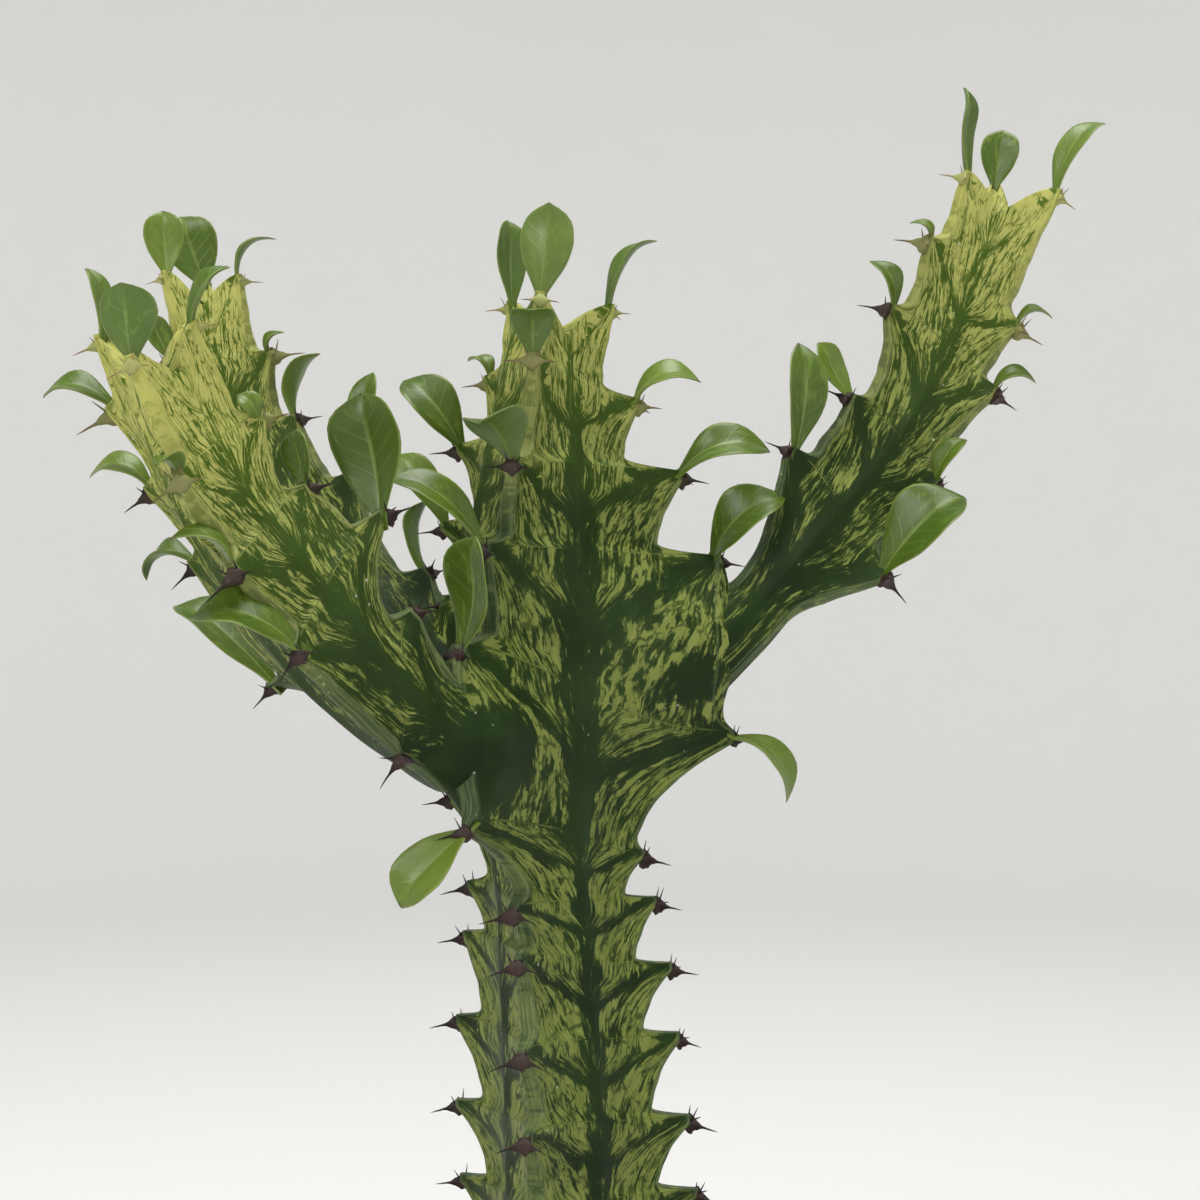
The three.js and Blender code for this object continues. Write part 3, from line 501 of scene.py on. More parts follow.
def stem_skin(stem, material):
    """The ribbed skin of a stem, from its foot to its crown."""
    line = StemLine(stem)
    ribs = stem["ribs"]
    teeth = len(ribs[0]["teeth"])
    phase = np.concatenate([[t + s for s in TOOTH_STOPS] for t in range(teeth)])
    if stem["long_foot"]:
        phase = np.concatenate([np.linspace(0.02, 0.2, 10), phase[phase > 0.2]])
    rows = [rib_rows(stem, rib, i, phase) for i, rib in enumerate(ribs)]
    drop = CROWN_DROP * smooth(phase, teeth - 1, teeth)
    columns, marks = [], []
    to_tip = np.ceil(phase - 1e-9) - phase

    def flow_lines(out, valley_out, edges):
        """How far in from the tips' outline, and the streaks' line in this bay and in the next."""
        outline, own_edge, next_waist = edges
        width = outline - valley_out
        inward = np.clip((outline - out) / width, 0, 1)
        wedge = (to_tip / WEDGE_SLOPE) ** (1 / WEDGE_POWER)
        own = np.maximum(0, inward - (outline - own_edge) / width)
        other = np.maximum(0, inward - np.maximum((outline - next_waist) / width, wedge))
        room = 1 - inward
        own_line = own / (own + to_tip * room + 0.03)
        return inward, own_line, other / (other + (1 + to_tip) * room + 0.03)

    def put(points, m, across, sector, along, flow):
        columns.append(points)
        marks.append((np.broadcast_to(m, phase.shape), across, sector, along, *flow))

    def rib_point(rib, k_out, k_half, along, lean):
        out = line.outward(along, rib[1])
        aside = line.outward(along, rib[1] + 90)
        centre = line.frame(along)[0]
        return centre + out * k_out[:, None] + aside * (k_half + lean)[:, None]

    for k, rib in enumerate(rows):
        nxt = rows[(k + 1) % len(rows)]
        along, angle, reach, half, lean, edges = rib
        spread = (nxt[1] - angle + 360) % 360
        valley_along = (along + nxt[0]) / 2 - drop
        valley_reach = table(stem["core"], valley_along)
        turn = np.radians(spread / 2)
        valley_out = valley_reach * np.cos(turn)
        corner = edge_round(half)
        for stop in EDGE_STOPS:
            over = np.maximum(0, (abs(stop) * half - (half - corner)) / corner)
            sunk = corner * (1 - np.sqrt(np.maximum(0, 1 - over**2)))
            points = rib_point(rib, reach - sunk, stop * half, along, lean)
            put(points, 0, stop * half, 2 * k, along, flow_lines(reach - sunk, valley_out, edges))

        def face(side_rib, sign, stop):
            a, _, r, h, lean_, edges_ = side_rib
            edge = r - edge_round(h)
            out = edge + (valley_out - edge) * stop
            hollow = stop**FACE_POWER
            wide = h + (valley_reach * np.sin(turn) - h) * hollow
            place = a + (valley_along - a) * hollow
            points = rib_point(side_rib, out, sign * wide, place, lean_ * (1 - stop))
            return points, place, flow_lines(out, valley_out, edges_)

        for stop in FACE_STOPS:
            points, place, flow = face(rib, 1, stop)
            put(points, stop, half, 2 * k, place, flow)
        for stop in FACE_STOPS[-2::-1]:
            points, place, flow = face(nxt, -1, stop)
            put(points, stop, nxt[3], 2 * k + 1, place, flow)

    grid = np.stack(columns, axis=1)
    width = grid.shape[1]
    m = np.stack([c[0] for c in marks], axis=1)
    across = np.stack([np.broadcast_to(c[1], phase.shape) for c in marks], axis=1)
    sector = np.array([c[2] for c in marks])
    along = np.stack([c[3] for c in marks], axis=1)
    flows = [np.stack([c[4 + i] for c in marks], axis=1) for i in range(3)]

    # The foot: plain rings that grow into the ribs
    foot_rows = stem["round"]
    shares = []
    for k in range(len(ribs)):
        shares += [(k, 0.05 * s) for s in EDGE_STOPS]
        shares += [(k, 0.05 + 0.45 * s) for s in FACE_STOPS]
        shares += [(k + 1, -(0.05 + 0.45 * s)) for s in FACE_STOPS[-2::-1]]

    def ring(place, radius):
        angles = [float(table(rib["turn"], place)) for rib in ribs]
        degrees = []
        for k, share in shares:
            here = angles[k % len(ribs)]
            other = angles[(k + (1 if share > 0 else -1)) % len(ribs)]
            span = (other - here) % 360 if share > 0 else (here - other) % 360
            degrees.append(here + share * span)
        n = len(degrees)
        return line.point(np.full(n, place), np.array(degrees), np.full(n, radius))

    for r in np.where(phase < FOOT_BLEND)[0]:
        blend = float(smooth(phase[r], 0, FOOT_BLEND))
        place = float(rows[0][0][r])
        grid[r] = grid[r] * blend + ring(place, foot_rows[-1][1]) * (1 - blend)
    rings = [ring(place, radius) for place, radius in foot_rows]

    # The crown: the last row drawn in and down to a shallow cup
    crown = min(rib["teeth"][-1][0] for rib in ribs) - CROWN_DROP
    rim = grid[-1]
    inner = []
    for share in (0.12, 0.3, 0.5, 0.7, 0.88):
        level = crown + 1.5 * math.sin(share * math.pi / 2)
        inner.append(rim + (line.frame(level)[0] - rim) * share)
    body = np.concatenate([np.array(rings), grid, np.array(inner)])
    height = len(body)

    def spread_rows(block, first, last):
        below, above = np.repeat(first, len(rings), 0), np.repeat(last, len(inner), 0)
        return np.concatenate([below, block, above])

    phase_grid = np.repeat(phase[:, None], width, axis=1)
    m = spread_rows(m, m[:1], m[-1:])
    across = spread_rows(across, across[:1], across[-1:])
    phase_grid = spread_rows(phase_grid, phase_grid[:1] * 0, phase_grid[-1:])
    along = spread_rows(along, np.full((1, width), foot_rows[-1][0]), along[-1:])
    flows = [spread_rows(flow, flow[:1], flow[-1:]) for flow in flows]
    bay_rows = np.concatenate([
        np.zeros(len(rings)), np.ceil(phase - 1e-9) - 1, np.full(len(inner), teeth - 1),
    ])

    points = body.reshape(-1, 3)
    faces, sectors, bays = [], [], []
    for r in range(height - 1):
        for c in range(width):
            d = (c + 1) % width
            faces.append([r * width + c, r * width + d, (r + 1) * width + d, (r + 1) * width + c])
            sectors.append(sector[d] if d else sector[c])
            bays.append(bay_rows[r + 1])
    foot_centre = line.frame(foot_rows[0][0])[0]
    top_centre = line.frame(crown + 1.5)[0]
    points = np.concatenate([points, foot_centre, top_centre])
    low, high = len(points) - 2, len(points) - 1
    last = (height - 1) * width
    for c in range(width):
        d = (c + 1) % width
        faces += [[low, d, c], [high, last + c, last + d]]
        sectors += [sector[c], sector[c]]
        bays += [0, teeth - 1]

    def flat(block, ends):
        return np.concatenate([block.reshape(-1), ends])

    place = flat(along, [foot_rows[0][0], crown])
    values = {
        "m": flat(m, [0.5, 0.5]),
        "phase": flat(phase_grid, [0, teeth]),
        "across": flat(across, [0, 0]),
        "along": place,
        "young": table(stem["young"], place),
        "pale": table(stem["pale"], place),
    }
    for key, flow in zip(("inward", "own_line", "next_line"), flows):
        values[key] = flat(flow, [0.5, 0.5])
    face_values = {"sector": sectors, "bay": bays}
    return mesh_object(stem["name"] + "_skin", points, faces, material, values, face_values)


def swell_joints(pieces):
    """Skins bulge a little where they come near one another, as a stem does round a side stem."""
    trees = []
    for piece in pieces:
        mesh = piece.data
        corners = [v.co.copy() for v in mesh.vertices]
        trees.append(BVHTree.FromPolygons(corners, [p.vertices[:] for p in mesh.polygons]))
    moves = []
    for i, piece in enumerate(pieces):
        for j, tree in enumerate(trees):
            if i == j or (i > 0 and j > 0):
                continue
            for vertex in piece.data.vertices:
                spot, way, _, gap = tree.find_nearest(vertex.co, JOINT_REACH * MM)
                if spot is None:
                    continue
                if (vertex.co - spot).dot(way) < 0:
                    gap = 0
                share = 1 - gap / (JOINT_REACH * MM)
                moves.append((vertex, vertex.normal * (JOINT_RISE * MM * share * share)))
    for vertex, move in moves:
        vertex.co += move
    for piece in pieces:
        piece.data.update()


# Teeth: what sits on each of them

def each_tooth(stem):
    line = StemLine(stem)
    for r, rib in enumerate(stem["ribs"]):
        for t, tooth in enumerate(rib["teeth"]):
            angle = table(rib["turn"], tooth[0])
            yield {
                "rib": rib,
                "rib_index": r,
                "tooth": t,
                "tip": line.point(tooth[0], angle, tooth[1])[0],
                "out": line.outward(tooth[0], angle)[0],
                "up": line.frame(tooth[0])[1][0],
                "youth": smooth(t, len(rib["teeth"]) - 3.2, len(rib["teeth"]) - 1),
                "last": t == len(rib["teeth"]) - 1,
            }


def leaf_body(foot, to, face, wide, bend, seed):
    """A fleshy folded blade, broad past its middle and curled at its tip: points, faces, values."""
    length = np.linalg.norm(to)
    ahead = to / length
    upper = unit(face - ahead * face.dot(ahead))
    across = np.cross(ahead, upper)
    widths = np.interp(LEAF_STATIONS, LEAF_MARKS, LEAF_WIDTHS)
    widths = np.convolve(np.pad(widths, 1, mode="edge"), [0.2, 0.6, 0.2], mode="valid")
    widths[-1] = 0.03
    points, marks = [], []
    for t, share in zip(LEAF_STATIONS, widths):
        half = wide / 2 * share
        rise = -bend * length * 4 * t * (1 - t)
        curl = 0.11 * length * max(0, (t - 0.72) / 0.28) ** 2
        run = -LEAF_SINK if t == 0 else t * length
        middle = foot + ahead * run + upper * (rise - curl)
        ripple = 0.03 * wide * math.sin(t * 9 + seed * 6.3)
        twist = 0.05 * wide * (seed - 0.5) * t
        thick = LEAF_THICK / 2 * (1 - 0.35 * t)
        for side in (1, -1):
            for e in LEAF_EDGES[::side]:
                lift = half * LEAF_FOLD * abs(e) ** 1.35 + ripple * abs(e) ** 3 + twist * e
                body = thick * (1 - abs(e) ** 3.2) ** 0.5 + 0.06
                if side > 0:
                    body -= 0.16 * math.exp(-((e * half) / 0.45) ** 2)
                else:
                    body += 0.22 * math.exp(-((e * half) / 0.6) ** 2) * (1 - t)
                points.append(middle + across * (e * half) + upper * (lift + side * body))
                marks.append((t, e, side < 0))
    size = 2 * len(LEAF_EDGES)
    end = (len(LEAF_STATIONS) - 1) * size
    faces = []
    for a in range(0, end, size):
        for c in range(size):
            d = (c + 1) % size
            faces.append([a + c, a + size + c, a + size + d, a + d])
    for c in range(len(LEAF_EDGES) - 1):
        faces.append([c, c + 1, size - 2 - c, size - 1 - c])
        faces.append([end + c + 1, end + c, end + size - 1 - c, end + size - 2 - c])
    return points, faces, dict(zip(("t", "e", "under"), zip(*marks)))


def stem_leaves(stem, material):
    draw = random_source(LEAF_SEED)
    parts = Parts(["t", "e", "under", "chance", "young"])
    for spot in each_tooth(stem):
        up, out, rib = spot["up"], spot["out"], spot["rib"]
        lean = math.radians(RULED_LEAN[0] + RULED_LEAN[1] * next(draw))
        length = RULED_LENGTH[0] + RULED_LENGTH[1] * next(draw)
        bend = RULED_BEND[0] + RULED_BEND[1] * next(draw)
        seen = [leaf for leaf in rib["leaves"] if leaf[0] == spot["tooth"]]
        if not seen and spot["tooth"] < stem["first_ruled_leaf"]:
            continue
        foot = spot["tip"] - out * LEAF_INSET
        if seen:
            _, to, wide, face, bend = seen[0]
            to, face = np.array(to, float), np.array(face, float)
        else:
            to = (up * math.cos(lean) + out * math.sin(lean)) * length
            face = up * math.sin(lean) - out * math.cos(lean)
            wide = length * 0.5
        seed = (spot["tooth"] * 0.37 + spot["rib_index"] * 0.71 + len(stem["name"]) * 0.13) % 1
        points, faces, marks = leaf_body(foot, to, face, wide, bend, seed)
        parts.add(points, faces, **marks, chance=seed, young=spot["youth"])
    line = StemLine(stem)
    crown = min(rib["teeth"][-1][0] for rib in stem["ribs"]) - CROWN_DROP
    centre, up, side, back = (v[0] for v in line.frame(crown))
    for i in range(CROWN_LEAVES):
        turn = i * 2.4 + len(stem["name"])
        out = side * math.cos(turn) + back * math.sin(turn)
        size = 3.2 + 1.3 * next(draw)
        to = (up * 0.94 + out * 0.34) * size
        foot = centre + out * 1.3 + up * 1.2
        points, faces, marks = leaf_body(foot, to, up * 0.3 - out, size * 0.45, -0.1, 0.3)
        parts.add(points, faces, **marks, chance=0.5, young=1.0)
    return parts.build(stem["name"] + "_leaves", material)


def stem_spines(stem, material):
    draw = random_source(LEAF_SEED + 4)
    parts = Parts(["horn", "youth", "chance"])
    sides = SHIELD_SIDES
    stops = np.array([-1, -0.92, -0.82, -0.7, -0.58, -0.47, -0.38, -0.3, -0.22, -0.14, -0.06])
    stops = np.concatenate([stops, [0], -stops[::-1]])
    for spot in each_tooth(stem):
        up, out = spot["up"], spot["out"]
        across = np.cross(up, out)
        scale = (YOUNG_SPINE if spot["last"] else 1) * (0.9 + 0.2 * next(draw))
        centre = spot["tip"] - up * SPINE_DROP - out * 0.25
        reach = [0.92 + 0.16 * next(draw), 0.92 + 0.16 * next(draw)]
        lift = [0.3 * (next(draw) - 0.5), 0.3 * (next(draw) - 0.5)]
        rings, horn = [], []
        for stop in stops:
            side = 0 if stop < 0 else 1
            far = abs(stop)
            x = SPINE_ACROSS * stop * reach[side]
            y = SPINE_OUT * far**1.25 * reach[side]
            z = (lift[side] - 0.35) * far**2 * 2.2
            slim = (1 - far) ** 0.7
            tall = 1.75 * max(0, 1 - far / 0.52) ** 1.15 + 0.38 * slim + 0.03
            deep = 0.85 * max(0, 1 - far / 0.55) ** 1.1 + 0.35 * slim + 0.03
            middle = centre + (across * x + up * z + out * y) * scale
            for s in range(sides):
                a = 2 * math.pi * s / sides
                ridge = 1 + 0.12 * math.sin(3 * a + far * 20 + spot["tooth"])
                rings.append(
                    middle
                    + up * (math.sin(a) * tall * scale * ridge)
                    + out * (math.cos(a) * deep * scale * ridge)
                )
                horn.append(far)
        points = [sum(rings[:sides]) / sides] + rings + [sum(rings[-sides:]) / sides]
        faces = tube_faces(len(stops), sides)
        youth = spot["youth"]
        parts.add(points, faces, horn=[1] + horn + [1], youth=youth, chance=next(draw))
        for sign in (-1, 1):
            root = centre + (across * (sign * 1.05) + up * 0.9 + out * 0.2) * scale
            way = unit(up * 1.0 + out * 0.35 + across * sign * (0.15 + 0.35 * next(draw)))
            long = (1.9 + 1.5 * next(draw)) * scale
            side = unit(np.cross(way, out))
            other = np.cross(way, side)
            rings, horn = [], []
            for share, radius in ((0, 0.3), (0.25, 0.2), (0.55, 0.14), (0.85, 0.08), (1, 0.04)):
                for s in range(PRICKLE_SIDES):
                    a = 2 * math.pi * s / PRICKLE_SIDES
                    rings.append(
                        root + way * (long * share)
                        + (side * math.cos(a) + other * math.sin(a)) * (radius * scale)
                    )
                    horn.append(0.35 + 0.6 * share)
            points = [root - way * 0.2] + rings + [root + way * long * 1.03]
            faces = tube_faces(5, PRICKLE_SIDES)
            parts.add(points, faces, horn=[0.35] + horn + [1], youth=youth, chance=next(draw))
    return parts.build(stem["name"] + "_spines", material)


# Pot and potting mix

def circle(radius, height, sides, shift=None):
    """The points of a level ring; shift gives each point its own change of radius."""
    row = []
    for s in range(sides):
        a = 2 * math.pi * s / sides
        r = radius + (shift(a, radius, height) if shift else 0)
        row.append([r * math.cos(a), r * math.sin(a), height])
    return row


def lathe(profile, sides, shift=None):
    """A closed body of revolution from a profile of [radius, height] with both ends on the axis."""
    inner = profile[1:-1]
    points = [[0, 0, profile[0][1]]]
    for radius, height in inner:
        points += circle(radius, height, sides, shift)
    points.append([0, 0, profile[-1][1]])
    return points, tube_faces(len(inner), sides)


def pot_inner(height):
    slope = (POT_BODY_TOP_RADIUS - POT_BASE_RADIUS) / (POT_HEIGHT - RIM_HEIGHT)
    return POT_BASE_RADIUS - POT_WALL + slope * height


def rounded(corners, radius, steps=5):
    """The profile with each inner corner rounded off."""
    row = [corners[0]]
    for before, here, after in zip(corners, corners[1:], corners[2:]):
        before, here, after = (np.array(p, float) for p in (before, here, after))
        back, on = before - here, after - here
        cut = min(radius, np.linalg.norm(back) * 0.45, np.linalg.norm(on) * 0.45)
        a, b = here + unit(back) * cut, here + unit(on) * cut
        for i in range(steps + 1):
            t = i / steps
            row.append((a * (1 - t) ** 2 + here * 2 * t * (1 - t) + b * t * t).tolist())
    row.append(corners[-1])
    return row


def between_heights(profile, step):
    """The profile with long straight stretches split."""
    row = [profile[0]]
    for a, b in zip(profile, profile[1:]):
        n = max(1, int(math.dist(a, b) / step))
        for i in range(1, n + 1):
            row.append([a[0] + (b[0] - a[0]) * i / n, a[1] + (b[1] - a[1]) * i / n])
    return row


def pot_piece(material):
    lip = POT_HEIGHT - RIM_HEIGHT
    corners = [
        [0, 0], [POT_BASE_RADIUS, 0], [POT_BODY_TOP_RADIUS, lip], [RIM_RADIUS - 0.4, lip + 0.8],
        [RIM_RADIUS, POT_HEIGHT], [pot_inner(POT_HEIGHT), POT_HEIGHT],
        [pot_inner(POT_FLOOR), POT_FLOOR], [0, POT_FLOOR],
    ]
    profile = between_heights(rounded(corners, 1.9), 2.2)

    def shift(angle, radius, height):
        if radius < 40:
            return 0
        ring = 0.1 * math.sin(height * 1.15 + 0.6 * math.sin(angle)) + 0.07 * math.sin(height * 2.7 + 1)
        sway = 0.16 * math.sin(2 * angle + 0.7) + 0.1 * math.sin(5 * angle + height * 0.05)
        return ring * (1 if radius > pot_inner(height) + 3 else 0.6) + sway

    points, faces = lathe(profile, 168, shift)
    piece = mesh_object("pot", points, faces, material)
    cutters = []
    for i in range(DRAIN_HOLES):
        angle = (i + 0.5) / DRAIN_HOLES * 2 * math.pi
        x, y = DRAIN_CIRCLE * math.cos(angle), DRAIN_CIRCLE * math.sin(angle)
        bored = [[0, -6], [DRAIN_RADIUS + 0.9, -6], [DRAIN_RADIUS + 0.9, -0.01],
                 [DRAIN_RADIUS, 0.9], [DRAIN_RADIUS, POT_FLOOR - 0.9],
                 [DRAIN_RADIUS + 0.9, POT_FLOOR + 0.01], [DRAIN_RADIUS + 0.9, 12], [0, 12]]
        spots, sides = lathe(bored, 32)
        spots = [[p[0] + x, p[1] + y, p[2]] for p in spots]
        cutter = mesh_object("drain_cutter_%d" % i, spots, sides, material)
        cutters.append(cutter)
        boolean = piece.modifiers.new("drain_%d" % i, "BOOLEAN")
        boolean.operation, boolean.object, boolean.solver = "DIFFERENCE", cutter, "EXACT"
    graph = bpy.context.evaluated_depsgraph_get()
    bored_mesh = bpy.data.meshes.new_from_object(piece.evaluated_get(graph))
    piece.modifiers.clear()
    piece.data = bored_mesh
    for cutter in cutters:
        bpy.data.objects.remove(cutter)
    return piece


def soil_height(x, y):
    """Height of the mix at a spot, mm."""
    wave = math.sin(x * 0.21 + 1.3) * math.cos(y * 0.17) + math.sin(x * 0.09 - y * 0.24)
    rough = noise.fractal(Vector((x * 0.22, y * 0.22, 3.1)), 0.7, 2.1, 4)
    return SOIL_LEVEL + SOIL_RELIEF + wave * SOIL_RELIEF / 2 + 0.9 * rough


def soil_piece(material):
    outer = pot_inner(SOIL_LEVEL) - GAP
    bottom = POT_FLOOR + 3
    points = [[0, 0, bottom]]
    points += circle(pot_inner(bottom) - GAP, bottom, SOIL_SIDES)
    points += circle(outer, SOIL_LEVEL - 1.5, SOIL_SIDES)
    for r in range(SOIL_RINGS):
        radius = outer + (STEM_HOLE_RADIUS - outer) * r / (SOIL_RINGS - 1)
        for x, y, _ in circle(radius, 0, SOIL_SIDES):
            points.append([x, y, soil_height(x, y) - (0.7 if r == 0 else 0)])
    points += circle(STEM_HOLE_RADIUS, STEM_HOLE_FLOOR, SOIL_SIDES)
    points.append([0, 0, STEM_HOLE_FLOOR])
    return mesh_object("potting_mix", points, tube_faces(SOIL_RINGS + 3, SOIL_SIDES), material)


def grains_piece(material):
    """Crumbs, perlite, grit and bark lying on the mix."""
    rng = np.random.default_rng(GRAIN_SEED)
    base = bmesh.new()
    bmesh.ops.create_icosphere(base, subdivisions=2, radius=1)
    shape = np.array([v.co[:] for v in base.verts])
    sides = [[v.index for v in f.verts] for f in base.faces]
    base.free()
    parts = Parts(["kind", "chance"])
    inner, outer = 17.5, pot_inner(SOIL_LEVEL) - 1.8
    for i in range(GRAIN_COUNT):
        radius = math.sqrt(rng.uniform(inner**2, outer**2))
        angle = rng.uniform(0, 2 * math.pi)
        x, y = radius * math.cos(angle), radius * math.sin(angle)
        kind = rng.choice([0, 1, 2, 3], p=GRAIN_SHARES)
        size = [rng.uniform(*span) for span in GRAIN_SIZES][kind]
        stretch = np.array([1, rng.uniform(0.65, 1), rng.uniform(0.5, 0.85)])
        if kind == BARK:
            stretch = np.array([1.3, rng.uniform(0.45, 0.7), 0.28])
        tilt = rng.normal(size=3) * (0.25 if kind == BARK else 1.5)
        turn = rng.uniform(0, 2 * math.pi)
        knobs = 1 + 0.22 * np.sin(shape @ rng.normal(size=3) * 3 + rng.uniform(0, 6))
        knobs += 0.12 * np.sin(shape @ rng.normal(size=3) * 6)
        grain = shape * knobs[:, None] * stretch * size
        cx, sx, cy, sy, cz, sz = (f(v) for v in (tilt[0], tilt[1], turn) for f in (math.cos, math.sin))
        spin = np.array([[1, 0, 0], [0, cx, -sx], [0, sx, cx]])
        spin = np.array([[cy, 0, sy], [0, 1, 0], [-sy, 0, cy]]) @ spin
        spin = np.array([[cz, -sz, 0], [sz, cz, 0], [0, 0, 1]]) @ spin
        grain = grain @ spin.T
        grain += [x, y, soil_height(x, y) + size * 0.18]
        parts.add(grain, sides, kind=kind, chance=rng.uniform())
    return parts.build("potting_grains", material)


# Materials

class Term:
    """A node's output that can be used in plain arithmetic."""

    def __init__(self, nodes, socket):
        self.nodes, self.socket = nodes, socket

    def __add__(self, other):
        return self.nodes.math("ADD", self, other)

    def __radd__(self, other):
        return self.nodes.math("ADD", other, self)

    def __sub__(self, other):
        return self.nodes.math("SUBTRACT", self, other)

    def __rsub__(self, other):
        return self.nodes.math("SUBTRACT", other, self)

    def __mul__(self, other):
        return self.nodes.math("MULTIPLY", self, other)


class Nodes:
    """A short way to write a material's node graph."""

    def __init__(self, name):
        self.material = bpy.data.materials.new(name)
        self.material.use_nodes = True
        self.tree = self.material.node_tree
        self.shader = self.tree.nodes["Principled BSDF"]

    def link(self, value, socket):
        if isinstance(value, Term):
            self.tree.links.new(value.socket, socket)
        else:
            socket.default_value = value

    def node(self, kind, inputs=(), output=0, **settings):
        """The output of a new node, with its settings made and its inputs linked or set."""
        node = self.tree.nodes.new("ShaderNode" + kind)
        for name, setting in settings.items():
            setattr(node, name, setting)
        for name, value in dict(inputs).items():
            self.link(value, node.inputs[name])
        return Term(self, node.outputs[output])

    def math(self, operation, *values):
        return self.node("Math", enumerate(values), operation=operation)

    def step(self, value, low, high):
        """Rises smoothly from 0 at low to 1 at high."""
        flip = low > high
        inputs = {
            "Value": value, "From Min": min(low, high), "From Max": max(low, high),
            "To Min": 1 if flip else 0, "To Max": 0 if flip else 1,
        }
        return self.node("MapRange", inputs, "Result", interpolation_type="SMOOTHSTEP")

    def value(self, name):
        return self.node("Attribute", output="Fac", attribute_name=name)

    def place(self):
        return self.node("TexCoord", output="Object")

    def vector(self, *parts):
        return self.node("CombineXYZ", enumerate(parts))

    def noise(self, vector, scale, detail=2, rough=0.5, distortion=0.0):
        inputs = {
            "Vector": vector, "Scale": scale, "Detail": detail, "Roughness": rough,
            "Distortion": distortion,
        }
        return self.node("TexNoise", inputs, "Fac")

    def cells(self, vector, scale, feature="F1"):
        inputs = {"Vector": vector, "Scale": scale}
        return self.node("TexVoronoi", inputs, "Distance", feature=feature)

    def near(self, spot, radius):
        """1 at a place given in mm, fading to 0 at radius mm from it."""
        inputs = {0: self.place(), 1: [c * MM for c in spot]}
        gap = self.node("VectorMath", inputs, "Value", operation="DISTANCE")
        return self.step(gap, radius * MM, radius * MM * 0.45)

    def mix(self, share, a, b):
        a, b = ((*c, 1) if isinstance(c, tuple) else c for c in (a, b))
        return self.node("Mix", {0: share, 6: a, 7: b}, 2, data_type="RGBA")

    def bump(self, height, strength, distance):
        inputs = {"Height": height, "Strength": strength, "Distance": distance * MM}
        return self.node("Bump", inputs)

    def finish(self, colour, roughness, normal=None, **fixed):
        self.link(colour, self.shader.inputs["Base Color"])
        self.link(roughness, self.shader.inputs["Roughness"])
        if normal is not None:
            self.link(normal, self.shader.inputs["Normal"])
        for name, value in fixed.items():
            self.shader.inputs[name.replace("_", " ")].default_value = value
        return self.material


# Colours, linear
DARK_GREEN = (0.008, 0.020, 0.004)
DEEP_GREEN = (0.014, 0.034, 0.005)
SHADE_GREEN = (0.050, 0.082, 0.012)
PALE_GREEN = (0.150, 0.195, 0.036)
PALE_WARM = (0.225, 0.255, 0.066)
CREAM = (0.450, 0.445, 0.125)
FRESH_GREEN = (0.070, 0.125, 0.007)
# Painted sheen on the rib's edge: a bluish green and the pale stripes along it
SHEEN_BLUE_GREEN = (0.040, 0.075, 0.040)
SHEEN_STRIPE_GREEN = (0.150, 0.190, 0.085)
YOUNG_EDGE = (0.460, 0.460, 0.120)
BROWN = (0.060, 0.026, 0.018)
# Marks of the skin, mm: (place, radius). The dark patches are painted shade where the side stems join
# the main stem; the scars are the skin's own.
JOINT_SHADE_PATCHES = [((-11.6, -32, 274), 14), ((31, -5, 287), 11), ((-22, -34, 272), 10)]
SCARS = [
    ((-51, -40, 292), 2.2), ((-22.5, -34, 268), 2.4), ((33, -4, 296.5), 1.6), ((-25, -32, 263), 1.5),
]


